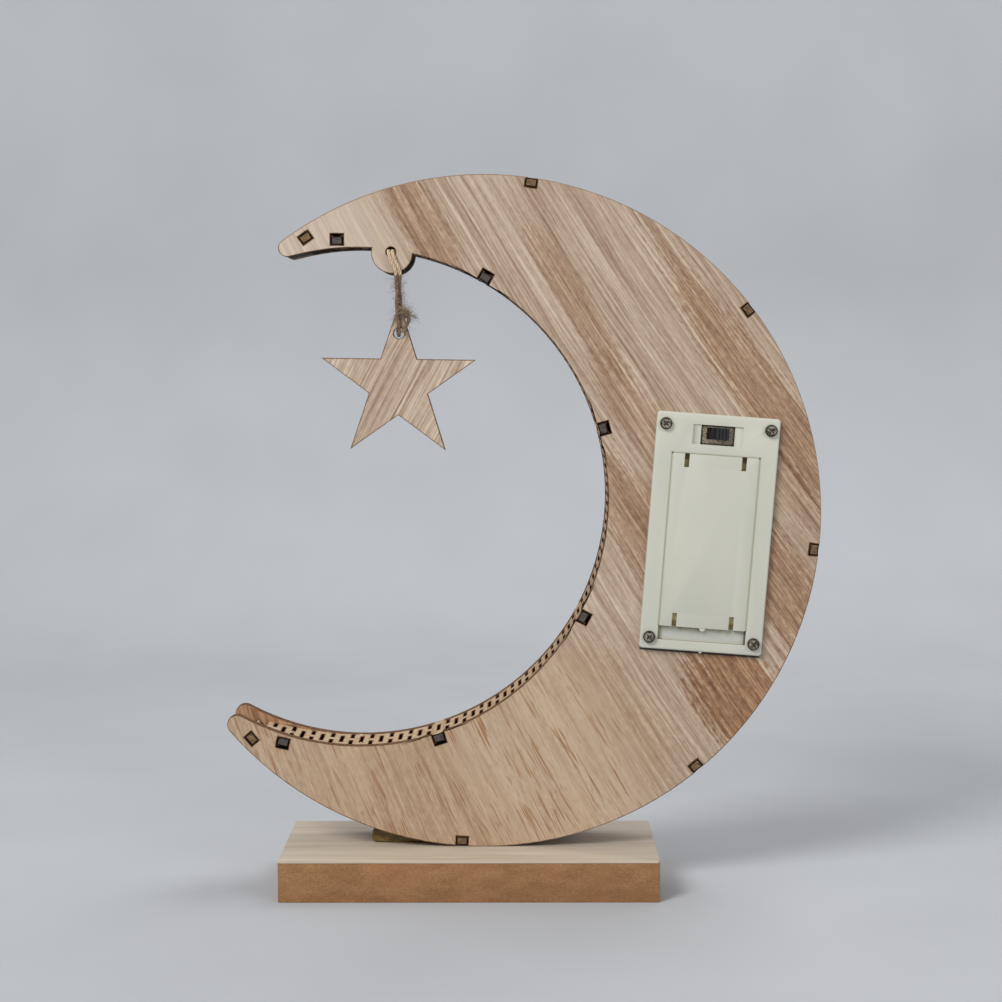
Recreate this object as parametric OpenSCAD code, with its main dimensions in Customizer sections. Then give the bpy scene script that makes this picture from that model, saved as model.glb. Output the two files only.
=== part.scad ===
// Lit crescent ornament on a wooden foot, seen from its back: two plywood crescents with bent
// plywood edges between them, a battery case screwed to the back, and a star hung on twine.
// Millimetres. X runs to the right and Z up. The back faces -Y, and the lamps face +Y.
// The origin is the middle of the foot's underside.

/* [Crescent] */
// Radius of the crescent's outer edge
outer_r = 120; // [100:1:142]
// Radius of the inner edge as a share of the outer one
inner_share = 0.741; // [0.735:0.001:0.745]
// Distance between the centres of the two edges as a share of the outer radius
offset_share = 0.374; // [0.37:0.001:0.378]
// Angle by which the crescent leans to the right
crescent_lean = 7.3; // [0:0.1:15]
// Thickness of the plywood
ply_t = 3; // [2.5:0.1:4]
// Thickness of the whole crescent, from back face to front face
crescent_t = 24; // [23.5:0.5:34]
// Radius of the upper tip's rounding
tip_r = 3.1; // [2.6:0.1:3.2]

/* [Foot] */
// Width of the foot
base_w = 134; // [110:1:180]
// Depth of the foot, back to front
base_d = 58; // [52:1:90]
// Thickness of the fibreboard block
base_t = 14; // [9:0.5:25]
// Thickness of the veneer on the block
veneer_t = 0.6; // [0.4:0.1:1.5]
// Distance from the foot's back edge to the crescent's back face
back_margin = 20.6; // [14:0.1:28]
// Sideways place of the crescent's centre on the foot
crescent_x = 5.2; // [-10:0.1:10]

/* [Bent edges] */
// Thickness of the bent plywood strips
band_t = 3; // [2.4:0.1:3.4]
// Distance between two rows of hinge cuts
hinge_row_w = 6.97; // [6:0.01:8]
// Width of a hinge cut
hinge_cut = 1.3; // [0.8:0.1:1.8]
// Width of a tab
tab_w = 4.1; // [3.6:0.1:4.8]
// Free length beside a tab in its slot
tab_gap = 0.3; // [0.1:0.05:0.4]
// Free depth beside a tab in its slot
tab_play = 0.55; // [0.45:0.05:0.8]
// How far the outer strip lies inside the outer edge
outer_inset = 0.2; // [0:0.1:0.8]
// How far the inner strip lies outside the inner edge
inner_inset = 0.1; // [0:0.1:0.5]

/* [Hanging lobe] */
// Radius of the lobe
lobe_r = 7.3; // [6:0.1:9]
// Bore of the hole in the lobe
lobe_hole_d = 3.5; // [3.4:0.1:5]

/* [Battery case] */
// Width of the case's flange
flange_w = 43.6; // [42.8:0.1:48]
// Height of the case's flange
flange_h = 84.6; // [84:0.1:90]
// Thickness of the flange
flange_t = 2.4; // [2.2:0.1:3.2]
// Lean of the case
case_lean = 4.3; // [0:0.1:7]
// Diameter of a battery cell
cell_d = 14.2; // [13.5:0.1:14.5]
// Length of a battery cell with its button
cell_l = 50.5; // [49.2:0.1:51]
// How far the lid slides down
lid_travel = 3.5; // [2.5:0.1:3.5]
// How far the switch knob slides
knob_travel = 3; // [2:0.1:3.1]

/* [Lamps] */
// Number of lamps
lamp_n = 12; // [6:1:16]
// Diameter of a lamp
lamp_d = 5; // [3:0.5:5]
// Distance of the lamps from the outer edge
lamp_inset = 9.5; // [9:0.5:11]

/* [Star] */
// Radius of the star's points
star_r = 28.6; // [20:0.1:34]
// Bore of the star's hole
star_hole_d = 3.8; // [3.6:0.1:5]
// Diameter of the twine
twine_d = 1.4; // [1:0.1:1.5]

/* [Hidden] */
$fn = 96;

// Overrun of every cut
over = 1;
// Gap between flat faces that slide or seat
seat = 0.05;

// Inner edge, and places of the crescent
inner_r = inner_share * outer_r;
centre_offset = offset_share * outer_r;
outer_cz = base_t + veneer_t + outer_r;
back_y = -base_d / 2 + back_margin;
cavity_y = back_y + ply_t;
cavity_w = crescent_t - 2 * ply_t;
front_y = cavity_y + cavity_w;
inner_c = centre_offset * [cos(180 - crescent_lean), sin(180 - crescent_lean)];

// Tip discs touch both edges from inside the wood. The lower one is larger
low_tip_r = 1.13 * tip_r;
horn_l = 10 * low_tip_r;
tip_step = 0.02;

// Bent edges: the strips' middle lines and the turns between tabs
outer_mid = outer_r - outer_inset - band_t / 2;
inner_mid = inner_r + inner_inset + band_t / 2;
outer_end_r = 0.93 * outer_mid;
inner_end_r = 1.4 * inner_mid;
outer_first = 81.7;
inner_first = 59.9;
outer_turn = 43.9;
inner_turn = 43.9;
outer_end_turn = 43.55;
inner_end_turn = 13.25;
// The inner strip keeps its curve for a while past its last regular tab, and then straightens
inner_free_turn = 18.45;
inner_free_cols = round(inner_free_turn * inner_mid * PI / 180 / hinge_row_w);
// Places of the end tabs on the strip's last stretch, and of the slots' middles off the strip
inner_high_share = 0.86;
inner_low_share = 0.94;
slot_shift = 0.8 * tab_play;
// The outer slots fit their tabs more closely than the back panel's inner ones
outer_play_share = 0.6;
front_play_share = 0.35;
outer_low_turn = 45.05;
outer_cols = round(outer_turn * outer_mid * PI / 180 / hinge_row_w);
inner_cols = round(inner_turn * inner_mid * PI / 180 / hinge_row_w);
outer_end_cols = round(outer_end_turn * outer_end_r * PI / 180 / hinge_row_w);
inner_end_cols = round(inner_end_turn * inner_end_r * PI / 180 / hinge_row_w);
outer_last = outer_first - 4 * outer_turn;
inner_last = inner_first - 3 * inner_turn - inner_free_turn;
inner_start = inner_first + inner_free_turn;
// Lengths of plain strip past the last row of cuts, at the upper and the lower end
outer_tails = [0.37, 0.37] * hinge_row_w;
inner_tails = [0.4, 0.93] * hinge_row_w;
lap = 0.4;
edge_cut_share = 0.4;
middle_cut_share = 0.6;
tab_l = ply_t - 0.05 * ply_t;
tab_proud = 0.03;

// A stretch of strip: centre, middle radius, upper angle, turn, columns of cuts
function on_circle(r, a) = r * [cos(a), sin(a)];
outer_runs = [
    [on_circle(outer_mid - outer_end_r, outer_first), outer_end_r,
        outer_first + outer_end_turn, outer_end_turn, outer_end_cols],
    [[0, 0], outer_mid, outer_first, 4 * outer_turn, 4 * outer_cols],
    [on_circle(outer_mid - outer_end_r, outer_last), outer_end_r,
        outer_last, outer_low_turn, outer_end_cols]
];
inner_runs = [
    [inner_c + on_circle(inner_mid - inner_end_r, inner_start), inner_end_r,
        inner_start + inner_end_turn, inner_end_turn, inner_end_cols],
    [inner_c, inner_mid, inner_start, inner_free_turn, inner_free_cols],
    [inner_c, inner_mid, inner_first, 3 * inner_turn, 3 * inner_cols],
    [inner_c, inner_mid, inner_first - 3 * inner_turn, inner_free_turn, inner_free_cols],
    [inner_c + on_circle(inner_mid - inner_end_r, inner_last), inner_end_r,
        inner_last, inner_end_turn, inner_end_cols]
];
// A tab: centre, middle radius, angle
outer_tabs = concat(
    [[outer_runs[0][0], outer_end_r, outer_runs[0][2]]],
    [for (i = [0:4]) [[0, 0], outer_mid, outer_first - i * outer_turn]],
    [[outer_runs[2][0], outer_end_r, outer_last - outer_runs[2][3]]]
);
inner_tabs = concat(
    [[inner_runs[0][0], inner_end_r, inner_start + inner_high_share * inner_end_turn]],
    [for (i = [0:3]) [inner_c, inner_mid, inner_first - i * inner_turn]],
    [[inner_runs[4][0], inner_end_r, inner_last - inner_low_share * inner_end_turn]]
);

// Hanging lobe, on the inner edge
lobe_angle = 81.8;
lobe_c = inner_c + on_circle(inner_r - 0.13 * lobe_r, lobe_angle);
hole_c = lobe_c + lobe_r * [-0.05, 0.035];

// Battery case, in its own frame: x across, z along the cells, y into the crescent
case_x = 0.669 * outer_r;
case_z = -0.056 * outer_r;
flange_corner = 1.2;
nub_r = 0.6;
face_y = -flange_t;
recess_d = 1.7;
lid_t = 1.5;
lid_w = 30.9;
lid_h = 61.7;
lid_gap = 0.2;
lid_top = 27.9;
lid_bottom = lid_top - lid_h;
lid_back = face_y + recess_d - seat;
case_wall = 1.8;
bay_side_gap = 0.7;
bay_hw = cell_d + bay_side_gap;
bay_top = 28;
bay_bottom = -33.4;
bay_h = bay_top - bay_bottom;
bay_mid = (bay_top + bay_bottom) / 2;
cell_apart = 0.25;
cell_down = 1.7;
cell_x = cell_d / 2 + cell_apart;
cell_y = cell_d / 2 + cell_down;
bay_floor = cell_y + cell_d / 2 + seat;
floor_t = 1.2;
case_corner = 1.5;
// Hooks at the lid's top, under slots that the mould leaves
hook_x = 10.15;
hook_w = 1.7;
hook_slot = 4.8;
hook_t = 1.05;
hook_low = 0.1;
hook_reach = 1.6;
// Catch on the lid's lower edge
catch_d = 2.1;
catch_out = 1.15;
// Tongues on the lid's sides, in grooves of the flange
tongue_t = 0.6;
tongue_w = 0.85;
tongue_h = 3;
tongue_up = 0.1;
tongue_bottom = lid_bottom + tongue_up;
groove_gap = 0.3;
// Screws
screw_x = 18.6;
screw_z = 38.1;
screw_head_d = 4.3;
screw_head_t = 1.4;
screw_d = 2.2;
screw_l = 6.5;
screw_hole_d = 2.6;
cross_l = 2.4;
cross_w = 0.5;
cross_d = 0.7;
pilot_gap = 0.04;
// Switch
window_w = 12;
window_h = 7;
window_z = 35;
switch_recess_w = 17.8;
switch_recess_d = 0.5;
switch_wall = 1.6;
shell_gap = 0.1;
shell_w = window_w - 2 * shell_gap;
shell_h = window_h - 2 * shell_gap;
shell_t = 0.4;
shell_d = 5;
shell_sunk = 0.4;
shell_face = face_y + switch_recess_d + shell_sunk;
well_past = 2;
knob_w = 4.65;
knob_h = 3.95;
knob_gap = 0.1;
knob_out = 1.9;
knob_slot_w = knob_w + knob_travel + 2 * knob_gap;
knob_slot_h = knob_h + 2 * knob_gap;
knob_up = 0.5;
knob_slot_z = window_z + knob_up;
skirt_w = shell_w - 2 * shell_t - knob_travel - 4 * knob_gap;
skirt_past = 0.5;
skirt_h = knob_h + 2 * skirt_past;
skirt_t = 0.8;
knob_x = knob_travel / 2;
pin_w = 0.8;
pin_t = 0.4;
pin_l = 3;
pin_apart = 3;
// Contacts
plate_t = 0.4;
plate_w = 11.6;
boss_d = 5;
spring_l = 8;
wire_d = 0.7;
coil_big_r = 4.9;
coil_small_r = 3;
coil_turns = 5;
button_d = 5.5;
button_l = 1;
boss_l = bay_h - 2 * plate_t - 4 * seat - cell_l - spring_l;

// Lamps in the front panel
lamp_r = outer_r - lamp_inset;
lamp_first = 108;
lamp_last = -124;
lamp_out = 2.1;
lamp_flange_d = lamp_d + 0.8;
lamp_flange_t = 1;
leg_d = 0.5;
leg_l = 2.6;
leg_apart = 2.54;
lead_d = 1;

// Star
star_inner_r = 0.382 * star_r;
star_lean = 0.9;
star_hole_up = 0.624 * star_r;

// Ends of the glue bead, in the wedge beside the foot of the crescent
glue_from = 13.5;
glue_to = 41;

// Turns a flat outline upright, with its low side at y and its thickness towards +Y
module upright(y, t)
    translate([0, y + t, 0]) rotate([90, 0, 0]) linear_extrude(height = t) children();

module at_crescent() translate([crescent_x, 0, outer_cz]) children();

module at_case()
    at_crescent() translate([case_x, back_y, case_z]) rotate([0, case_lean, 0]) children();

// A stretch of a round wall: middle radius, thickness, height range, from one angle to another
module wall_arc(r, t, low, high, a_from, a_to)
    rotate([0, 0, a_from]) rotate_extrude(angle = a_to - a_from, $fn = 360)
        translate([r - t / 2, low]) square([t, high - low]);

module rounded(w, h, r) {
    square([w - 2 * r, h], center = true);
    square([w, h - 2 * r], center = true);
    for (x = [-1, 1], z = [-1, 1])
        translate([x * (w / 2 - r), z * (h / 2 - r)]) circle(r = r, $fn = 48);
}

// Disc radius and centre of one tip: side 1 is the upper one, -1 the lower
function tip_radius(side) = side > 0 ? tip_r : low_tip_r;
function tip(side) = let (
        r = tip_radius(side),
        along = (pow(centre_offset, 2) + pow(outer_r - r, 2) - pow(inner_r + r, 2))
            / (2 * centre_offset),
        across = sqrt(pow(outer_r - r, 2) - pow(along, 2)),
        u = on_circle(1, 180 - crescent_lean),
        n = side * [u[1], -u[0]]
    ) along * u + across * n;

// What lies beyond a tip's disc, between the rays from both centres
module beyond_tip(side) {
    t = tip(side);
    r = tip_radius(side);
    e1 = t / norm(t);
    e2 = (t - inner_c) / norm(t - inner_c);
    away = side * [-e1[1], e1[0]];
    polygon([
        t, t + 2 * r * e1, t + 2 * r * e1 + horn_l * away,
        t - 2 * r * e2 + horn_l * away, t - 2 * r * e2
    ]);
}

module crescent_outline() {
    difference() {
        union() {
            difference() {
                circle(r = outer_r, $fn = 360);
                translate(inner_c) circle(r = inner_r, $fn = 360);
                beyond_tip(1);
                beyond_tip(-1);
            }
            translate(lobe_c) circle(r = lobe_r);
            for (side = [-1, 1]) translate(tip(side)) circle(r = tip_radius(side) - tip_step);
        }
        translate(hole_c) circle(d = lobe_hole_d);
    }
}

module tab_slots(at_front) {
    for (t = concat(outer_tabs, inner_tabs)) {
        inner = t[0] == inner_c || t[1] == inner_end_r;
        shift = inner && !at_front ? slot_shift : 0;
        share = !inner ? outer_play_share : at_front ? front_play_share : 1;
        translate(t[0]) rotate(t[2]) translate([t[1] + shift, 0]) square(
            [band_t + 2 * share * tab_play, tab_w + 2 * share * tab_gap], center = true);
    }
}

// The opening in the back panel that takes the case
module case_opening() {
    w = 2 * (bay_hw + case_wall + lid_gap);
    low = bay_bottom - case_wall - lid_gap;
    high = bay_top + case_wall + lid_gap;
    translate([-w / 2, low]) square([w, high - low]);
    sw = window_w + 2 * (switch_wall + lid_gap);
    translate([-sw / 2, high - over])
        square([sw, window_z + window_h / 2 + switch_wall + lid_gap - high + over]);
}

module base_block()
    color("#a5805a") translate([-base_w / 2, -base_d / 2, 0]) cube([base_w, base_d, base_t]);

module base_veneer()
    color("#c3b59e") translate([-base_w / 2, -base_d / 2, base_t])
        cube([base_w, base_d, veneer_t]);

// Fills the wedge between the outer strip and the foot, left of where they touch
module glue_bead() {
    clear_r = outer_r - outer_inset + seat;
    color("#b58a35") at_crescent() upright(cavity_y + seat, 0.55 * cavity_w) difference() {
        translate([-glue_to, -outer_r + seat]) square([glue_to - glue_from, 0.09 * outer_r]);
        circle(r = clear_r, $fn = 360);
        translate([-1.3 * glue_to, -outer_r + 0.045 * outer_r]) circle(r = 0.09 * outer_r);
        translate([-glue_to - over, -0.955 * outer_r]) square([glue_to, outer_r]);
    }
}

module back_panel() {
    color("#c8ab86") difference() {
        at_crescent() upright(back_y, ply_t) difference() {
            crescent_outline();
            tab_slots(false);
        }
        at_case() upright(-over, ply_t + 2 * over) {
            case_opening();
            for (x = [-1, 1], z = [-1, 1])
                translate([x * screw_x, z * screw_z]) circle(d = screw_d + pilot_gap, $fn = 32);
        }
    }
}

module front_panel() {
    color("#cdb08c") at_crescent() upright(front_y, ply_t) difference() {
        crescent_outline();
        tab_slots(true);
        for (a = lamp_angles()) rotate(a) translate([lamp_r, 0])
            circle(d = lamp_d + 2 * seat, $fn = 32);
    }
}

function lamp_angles() =
    [for (i = [0:lamp_n - 1]) lamp_first + (lamp_last - lamp_first) * i / (lamp_n - 1)];

// One row of cuts: edge cuts leave a bridge in the middle, and a middle cut leaves two edges
module hinge_cuts(r, a, at_edges) {
    depth = band_t + 2 * over;
    edge_l = edge_cut_share * cavity_w;
    mid_l = middle_cut_share * cavity_w;
    rotate([0, 0, a]) translate([r, 0, 0]) {
        if (at_edges) {
            translate([-depth / 2, -hinge_cut / 2, -over])
                cube([depth, hinge_cut, edge_l + over]);
            translate([-depth / 2, -hinge_cut / 2, cavity_w - edge_l])
                cube([depth, hinge_cut, edge_l + over]);
        } else {
            translate([-depth / 2, -hinge_cut / 2, (cavity_w - mid_l) / 2])
                cube([depth, hinge_cut, mid_l]);
        }
    }
}

// A bent strip between the panels, with its tabs and both kinds of hinge cut
module edge_band(runs, tabs, tails) {
    first = runs[0];
    last = runs[len(runs) - 1];
    end = last[2] - last[3];
    half_step = hinge_row_w / 2;
    at_crescent() translate([0, front_y, 0]) rotate([90, 0, 0]) difference() {
        union() {
            // The end stretches lap over their neighbours and are a trace thicker
            for (run = runs) translate(run[0]) {
                at_end = run == first || run == last;
                low = (run == last ? tails[1] : run == first ? lap : 0) / run[1] * 180 / PI;
                high = (run == first ? tails[0] : run == last ? lap : 0) / run[1] * 180 / PI;
                wall_arc(run[1], band_t + (at_end ? tab_proud : 0), 0, cavity_w,
                    run[2] - run[3] - low, run[2] + high);
            }
            // A tab stands a hair proud of the strip, because its grain doesn't bend
            for (t = tabs) translate(t[0]) {
                half = tab_w / t[1] * 90 / PI;
                wall_arc(t[1], band_t + 2 * tab_proud, -tab_l, cavity_w + tab_l,
                    t[2] - half, t[2] + half);
            }
        }
        for (run = runs) translate(run[0]) {
            step = run[3] / run[4];
            for (k = [0:run[4] - 1]) {
                hinge_cuts(run[1], run[2] - (k + 0.5) * step, true);
                hinge_cuts(run[1], run[2] - k * step, false);
            }
        }
        translate(last[0]) hinge_cuts(last[1], end, false);
        if (tails[0] > half_step + hinge_cut)
            translate(first[0])
                hinge_cuts(first[1], first[2] + half_step / first[1] * 180 / PI, true);
        if (tails[1] > half_step + hinge_cut)
            translate(last[0])
                hinge_cuts(last[1], end - half_step / last[1] * 180 / PI, true);
    }
}

module inner_edge_band() color("#d2b792")
    edge_band(inner_runs, inner_tabs, inner_tails);

module outer_edge_band() color("#cfb48e")
    edge_band(outer_runs, outer_tabs, outer_tails);

// A domed lamp through the front panel, with its flange and legs in the hollow
module lamp() {
    translate([0, front_y, 0]) rotate([-90, 0, 0]) {
        cylinder(d = lamp_d, h = ply_t + lamp_out, $fn = 32);
        translate([0, 0, ply_t + lamp_out]) difference() {
            sphere(d = lamp_d, $fn = 32);
            translate([-lamp_d, -lamp_d, -2 * lamp_d]) cube(2 * lamp_d);
        }
        translate([0, 0, -lamp_flange_t]) cylinder(d = lamp_flange_d, h = lamp_flange_t, $fn = 32);
        for (x = [-1, 1])
            translate([x * leg_apart / 2, 0, -lamp_flange_t - leg_l])
                cylinder(d = leg_d, h = leg_l, $fn = 16);
    }
}

module lamp_bulbs()
    color("#fff0c8") at_crescent() for (a = lamp_angles())
        rotate([0, -a, 0]) translate([lamp_r, 0, 0]) lamp();

// Two bare wires round the row of lamps, joining their legs
module lamp_wiring() {
    y = front_y - lamp_flange_t - leg_l - lead_d / 2 - seat;
    margin = 3;
    color("#b87333") at_crescent() translate([0, y, 0]) rotate([90, 0, 0])
        for (side = [-1, 1])
            rotate([0, 0, lamp_last - margin])
                rotate_extrude(angle = lamp_first - lamp_last + 2 * margin, $fn = 180)
                    translate([lamp_r + side * leg_apart / 2, 0]) circle(d = lead_d, $fn = 16);
}

// Flange, cell bay and switch well in one moulding
module battery_case() {
    bay_w = 2 * bay_hw;
    well_w = window_w + 2 * switch_wall;
    well_h = window_z + window_h / 2 + switch_wall - bay_top;
    color("#c6c4b6") at_case() difference() {
        union() {
            upright(face_y, flange_t) rounded(flange_w, flange_h, flange_corner);
            upright(-seat, bay_floor + floor_t + seat) translate([0, bay_mid])
                rounded(bay_w + 2 * case_wall, bay_h + 2 * case_wall, case_corner);
            upright(-seat, shell_face + shell_d + seat + well_past)
                translate([-well_w / 2, bay_top]) square([well_w, well_h]);
            // Nub that the mould's gate leaves under the flange
            upright(face_y + 0.25 * flange_t, 0.5 * flange_t)
                translate([0, -flange_h / 2]) circle(r = nub_r, $fn = 24);
        }
        // Bay for the cells
        upright(face_y, bay_floor - face_y)
            translate([-bay_hw, bay_bottom]) square([bay_w, bay_h]);
        // Recess for the lid, with room for it to slide down
        upright(face_y - over, recess_d + over) {
            low = lid_bottom - hook_slot - lid_gap;
            translate([-lid_w / 2 - lid_gap, low])
                square([lid_w + 2 * lid_gap, lid_top + lid_gap - low]);
        }
        // Side grooves under the flange's face, in which the lid's tongues slide
        for (side = [-1, 1]) {
            w = tongue_w + groove_gap + over;
            x = side * (lid_w / 2 + lid_gap - over + w / 2) - w / 2;
            top = tongue_bottom + tongue_h + groove_gap;
            low = tongue_bottom - lid_travel - groove_gap;
            upright(face_y + recess_d - tongue_t - 2 * groove_gap, tongue_t + 2 * groove_gap)
                translate([x, low]) square([w, top - low]);
        }
        // Windows in the bay's top wall for the lid's hooks
        for (side = [-1, 1])
            upright(0, hook_low + hook_t + groove_gap)
                translate([side * hook_x - hook_w / 2 - groove_gap, bay_top - over])
                    square([hook_w + 2 * groove_gap, case_wall + 2 * over]);
        // Switch window and the shallow recess beside it
        upright(face_y - over, flange_t + shell_d + 4 * over)
            translate([-window_w / 2, window_z - window_h / 2]) square([window_w, window_h]);
        upright(face_y - over, switch_recess_d + over)
            translate([-switch_recess_w / 2, window_z - window_h / 2])
                square([switch_recess_w, window_h]);
        for (x = [-1, 1], z = [-1, 1])
            upright(face_y - over, flange_t + 2 * over)
                translate([x * screw_x, z * screw_z]) circle(d = screw_hole_d, $fn = 32);
    }
}

// Lid with two hooks at the top, two side tongues and four mould slots
module battery_lid() {
    color("#c8c6b8") at_case() {
        difference() {
            union() {
                upright(lid_back - lid_t, lid_t) translate([0, lid_top - lid_h / 2])
                    rounded(lid_w, lid_h, 0.3 * lid_t);
                for (side = [-1, 1])
                    upright(lid_back - tongue_t, tongue_t)
                        translate([side * lid_w / 2 - tongue_w, tongue_bottom])
                            square([2 * tongue_w, tongue_h]);
                // Small catch on the lower edge
                translate([0, lid_back - lid_t / 2, lid_bottom + catch_d / 2 - catch_out])
                    rotate([90, 0, 0]) cylinder(d = catch_d, h = 0.8 * lid_t, center = true);
            }
            for (side = [-1, 1], high = [0, 1])
                upright(lid_back - lid_t - over, lid_t + 2 * over)
                    translate([side * hook_x - hook_w / 2,
                            high * (lid_h - hook_slot + over) + lid_bottom - over])
                        square([hook_w, hook_slot + over]);
        }
        for (side = [-1, 1]) {
            low = lid_top - hook_slot;
            upright(lid_back, hook_low + hook_t - lid_back)
                translate([side * hook_x - hook_w / 2, low - 0.7 * hook_w])
                    square([hook_w, 0.7 * hook_w]);
            upright(hook_low, hook_t)
                translate([side * hook_x - hook_w / 2, low - 0.7 * hook_w])
                    square([hook_w, hook_slot + hook_reach + 0.7 * hook_w]);
        }
    }
}

// Pan-head screw with a cross recess, its head on the flange
module case_screw() {
    rotate([-90, 0, 0]) difference() {
        union() {
            translate([0, 0, -screw_head_t]) cylinder(d = screw_head_d, h = screw_head_t, $fn = 32);
            cylinder(d = screw_d, h = screw_l - screw_d, $fn = 32);
            translate([0, 0, screw_l - screw_d])
                cylinder(d1 = screw_d, d2 = 0.2 * screw_d, h = screw_d, $fn = 32);
        }
        for (a = [45, 135]) rotate([0, 0, a])
            translate([-cross_l / 2, -cross_w / 2, -screw_head_t - over])
                cube([cross_l, cross_w, cross_d + over]);
    }
}

module case_screws()
    color("#77726a") at_case() for (x = [-1, 1], z = [-1, 1])
        translate([x * screw_x, face_y, z * screw_z]) case_screw();

// A cell lies along the bay; up is 1 when its button is at the top
module cell(x, up) {
    middle = bay_mid + up * (boss_l - spring_l) / -2;
    can_l = cell_l - button_l;
    translate([x, cell_y, middle]) rotate([90 - 90 * up, 0, 0])
        translate([0, 0, -cell_l / 2]) {
            cylinder(d = cell_d, h = can_l, $fn = 64);
            translate([0, 0, can_l]) cylinder(d = button_d, h = button_l, $fn = 32);
        }
}

module cell_left() color("#3d6a4a") at_case() cell(-cell_x, 1);

module cell_right() color("#3d6a4a") at_case() cell(cell_x, -1);

module contact_plate(x, w, z)
    upright(cell_y - plate_w / 2, plate_w) translate([x - w / 2, z]) square([w, plate_t]);

module boss(x, z)
    translate([x, cell_y, z]) cylinder(d = boss_d, h = boss_l, $fn = 32);

// The two separate plates at the top of the bay
module end_contacts() {
    z = bay_top - seat - plate_t;
    color("#b9b7b2") at_case() {
        for (x = [-cell_x, cell_x]) contact_plate(x, plate_w, z);
        boss(-cell_x, z - boss_l);
    }
}

// The plate at the foot of the bay, which joins both cells
module bridge_contact() {
    color("#b9b7b2") at_case() {
        contact_plate(0, 2 * cell_x + plate_w, bay_bottom + seat);
        boss(cell_x, bay_bottom + seat + plate_t);
    }
}

// Tapered coil: points of ring k round the wire, then the faces of the whole tube
coil_rings = coil_turns * 8;
coil_sides = 6;
function coil_point(k, j) = let (
        s = k / coil_rings,
        a = 360 * coil_turns * s,
        b = 360 * j / coil_sides,
        r = coil_big_r + (coil_small_r - coil_big_r) * s + wire_d / 2 * cos(b)
    ) [r * cos(a), r * sin(a), wire_d / 2 + (spring_l - wire_d - 2 * seat) * s
        + wire_d / 2 * sin(b)];
coil_points = [for (k = [0:coil_rings], j = [0:coil_sides - 1]) coil_point(k, j)];
function ring_index(k, j, n) = k * n + j % n;
function tube_faces(rings, n) = concat(
    [[for (j = [n - 1:-1:0]) j]],
    [for (k = [0:rings - 1], j = [0:n - 1]) each [
        [ring_index(k, j, n), ring_index(k + 1, j + 1, n), ring_index(k + 1, j, n)],
        [ring_index(k, j, n), ring_index(k, j + 1, n), ring_index(k + 1, j + 1, n)]
    ]],
    [[for (j = [0:n - 1]) rings * n + j]]
);

module contact_spring() polyhedron(coil_points, tube_faces(coil_rings, coil_sides));

module contact_springs() {
    color("#c9c7c0") at_case() {
        translate([-cell_x, cell_y, bay_bottom + seat + plate_t + seat]) contact_spring();
        translate([cell_x, cell_y, bay_top - seat - plate_t - seat]) rotate([180, 0, 0])
            contact_spring();
    }
}

// Pressed steel shell of the slide switch, open at the back
module switch_shell() {
    color("#b3ad9c") at_case() difference() {
        upright(shell_face, shell_d) translate([0, window_z])
            square([shell_w, shell_h], center = true);
        upright(shell_face + shell_t, shell_d) translate([0, window_z])
            square([shell_w - 2 * shell_t, shell_h - 2 * shell_t], center = true);
        upright(shell_face - over, shell_t + 2 * over) translate([0, knob_slot_z])
            square([knob_slot_w, knob_slot_h], center = true);
    }
}

module switch_base() {
    low = shell_face + shell_t + skirt_t + 4 * seat;
    deep = shell_face + shell_d - low;
    color("#3a2a1c") at_case() {
        upright(low, deep) translate([0, window_z])
            square([shell_w - 2 * shell_t - 2 * seat, shell_h - 2 * shell_t - 2 * seat],
                center = true);
        for (i = [-1:1])
            upright(low + deep, pin_l) translate([i * pin_apart, window_z])
                square([pin_w, pin_t], center = true);
    }
}

module switch_knob() {
    skirt_y = shell_face + shell_t + seat;
    color("#1d1f22") at_case() {
        upright(skirt_y, skirt_t) translate([knob_x, knob_slot_z - knob_gap])
            square([skirt_w, skirt_h], center = true);
        difference() {
            upright(skirt_y - knob_out - 2 * shell_t, knob_out + 2 * shell_t)
                translate([knob_x, knob_slot_z]) square([knob_w, knob_h], center = true);
            // Finger grooves
            for (i = [-1:1])
                upright(skirt_y - knob_out - 2 * shell_t - over, over + shell_t)
                    translate([knob_x + i * knob_w / 4, knob_slot_z])
                        square([0.1 * knob_w, knob_h + over], center = true);
        }
    }
}

module star_outline() {
    difference() {
        polygon([for (i = [0:9])
            on_circle(i % 2 == 0 ? star_r : star_inner_r, 90 - star_lean + 36 * i)]);
        rotate(-star_lean) translate([0, star_hole_up]) circle(d = star_hole_d, $fn = 48);
    }
}

// Twine, measured from the line under the lobe on which it hangs, and from the lobe's hole
drop_x = 2.56;
face_gap = 0.3;
twine_y = back_y - twine_d / 2 - face_gap;
pair_half = 0.8;
strand_in = 2.8;
// Both strands come through the lobe's hole and down over its face
hitch_start = [-2.6, ply_t + strand_in, 0.3];
hitch_rest = [[-2.6, 2.9, 0.3], [-2.6, 1.2, 0.2], [-2.5, 0.3, -0.5], [-2.2, 0, -1.7],
    [-1.6, 0, -3.4], [-0.7, 0, -5.3], [-0.2, 0, -6.6], [0, 0, -7.5]];
upper_route = [[0, 0, -8.6], [0, 0, -9.6], [0, 0, -10.6]];
// The pair makes a quarter turn here, so that one strand hangs in front of the other
twist_zs = [-11.7, -12.4, -13, -13.6];
// The loop spreads above the star's point and turns under the top of its hole
loop_top = -14.2;
loop_up = 0.502 * star_r;
loop_spread = ply_t / 2 + twine_d / 2 + face_gap - pair_half;
loop_shares = [[0, 0], [0.13, 0.028], [0.56, 0.074], [0.94, 0.116], [1, 0.168], [1, 0.266],
    [1, 0.364], [1, 0.427], [0.8, 0.479], [0.15, 0.514]];
low_share = 0.524;
knot_at = [2.2, -3, 0.26];

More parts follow.
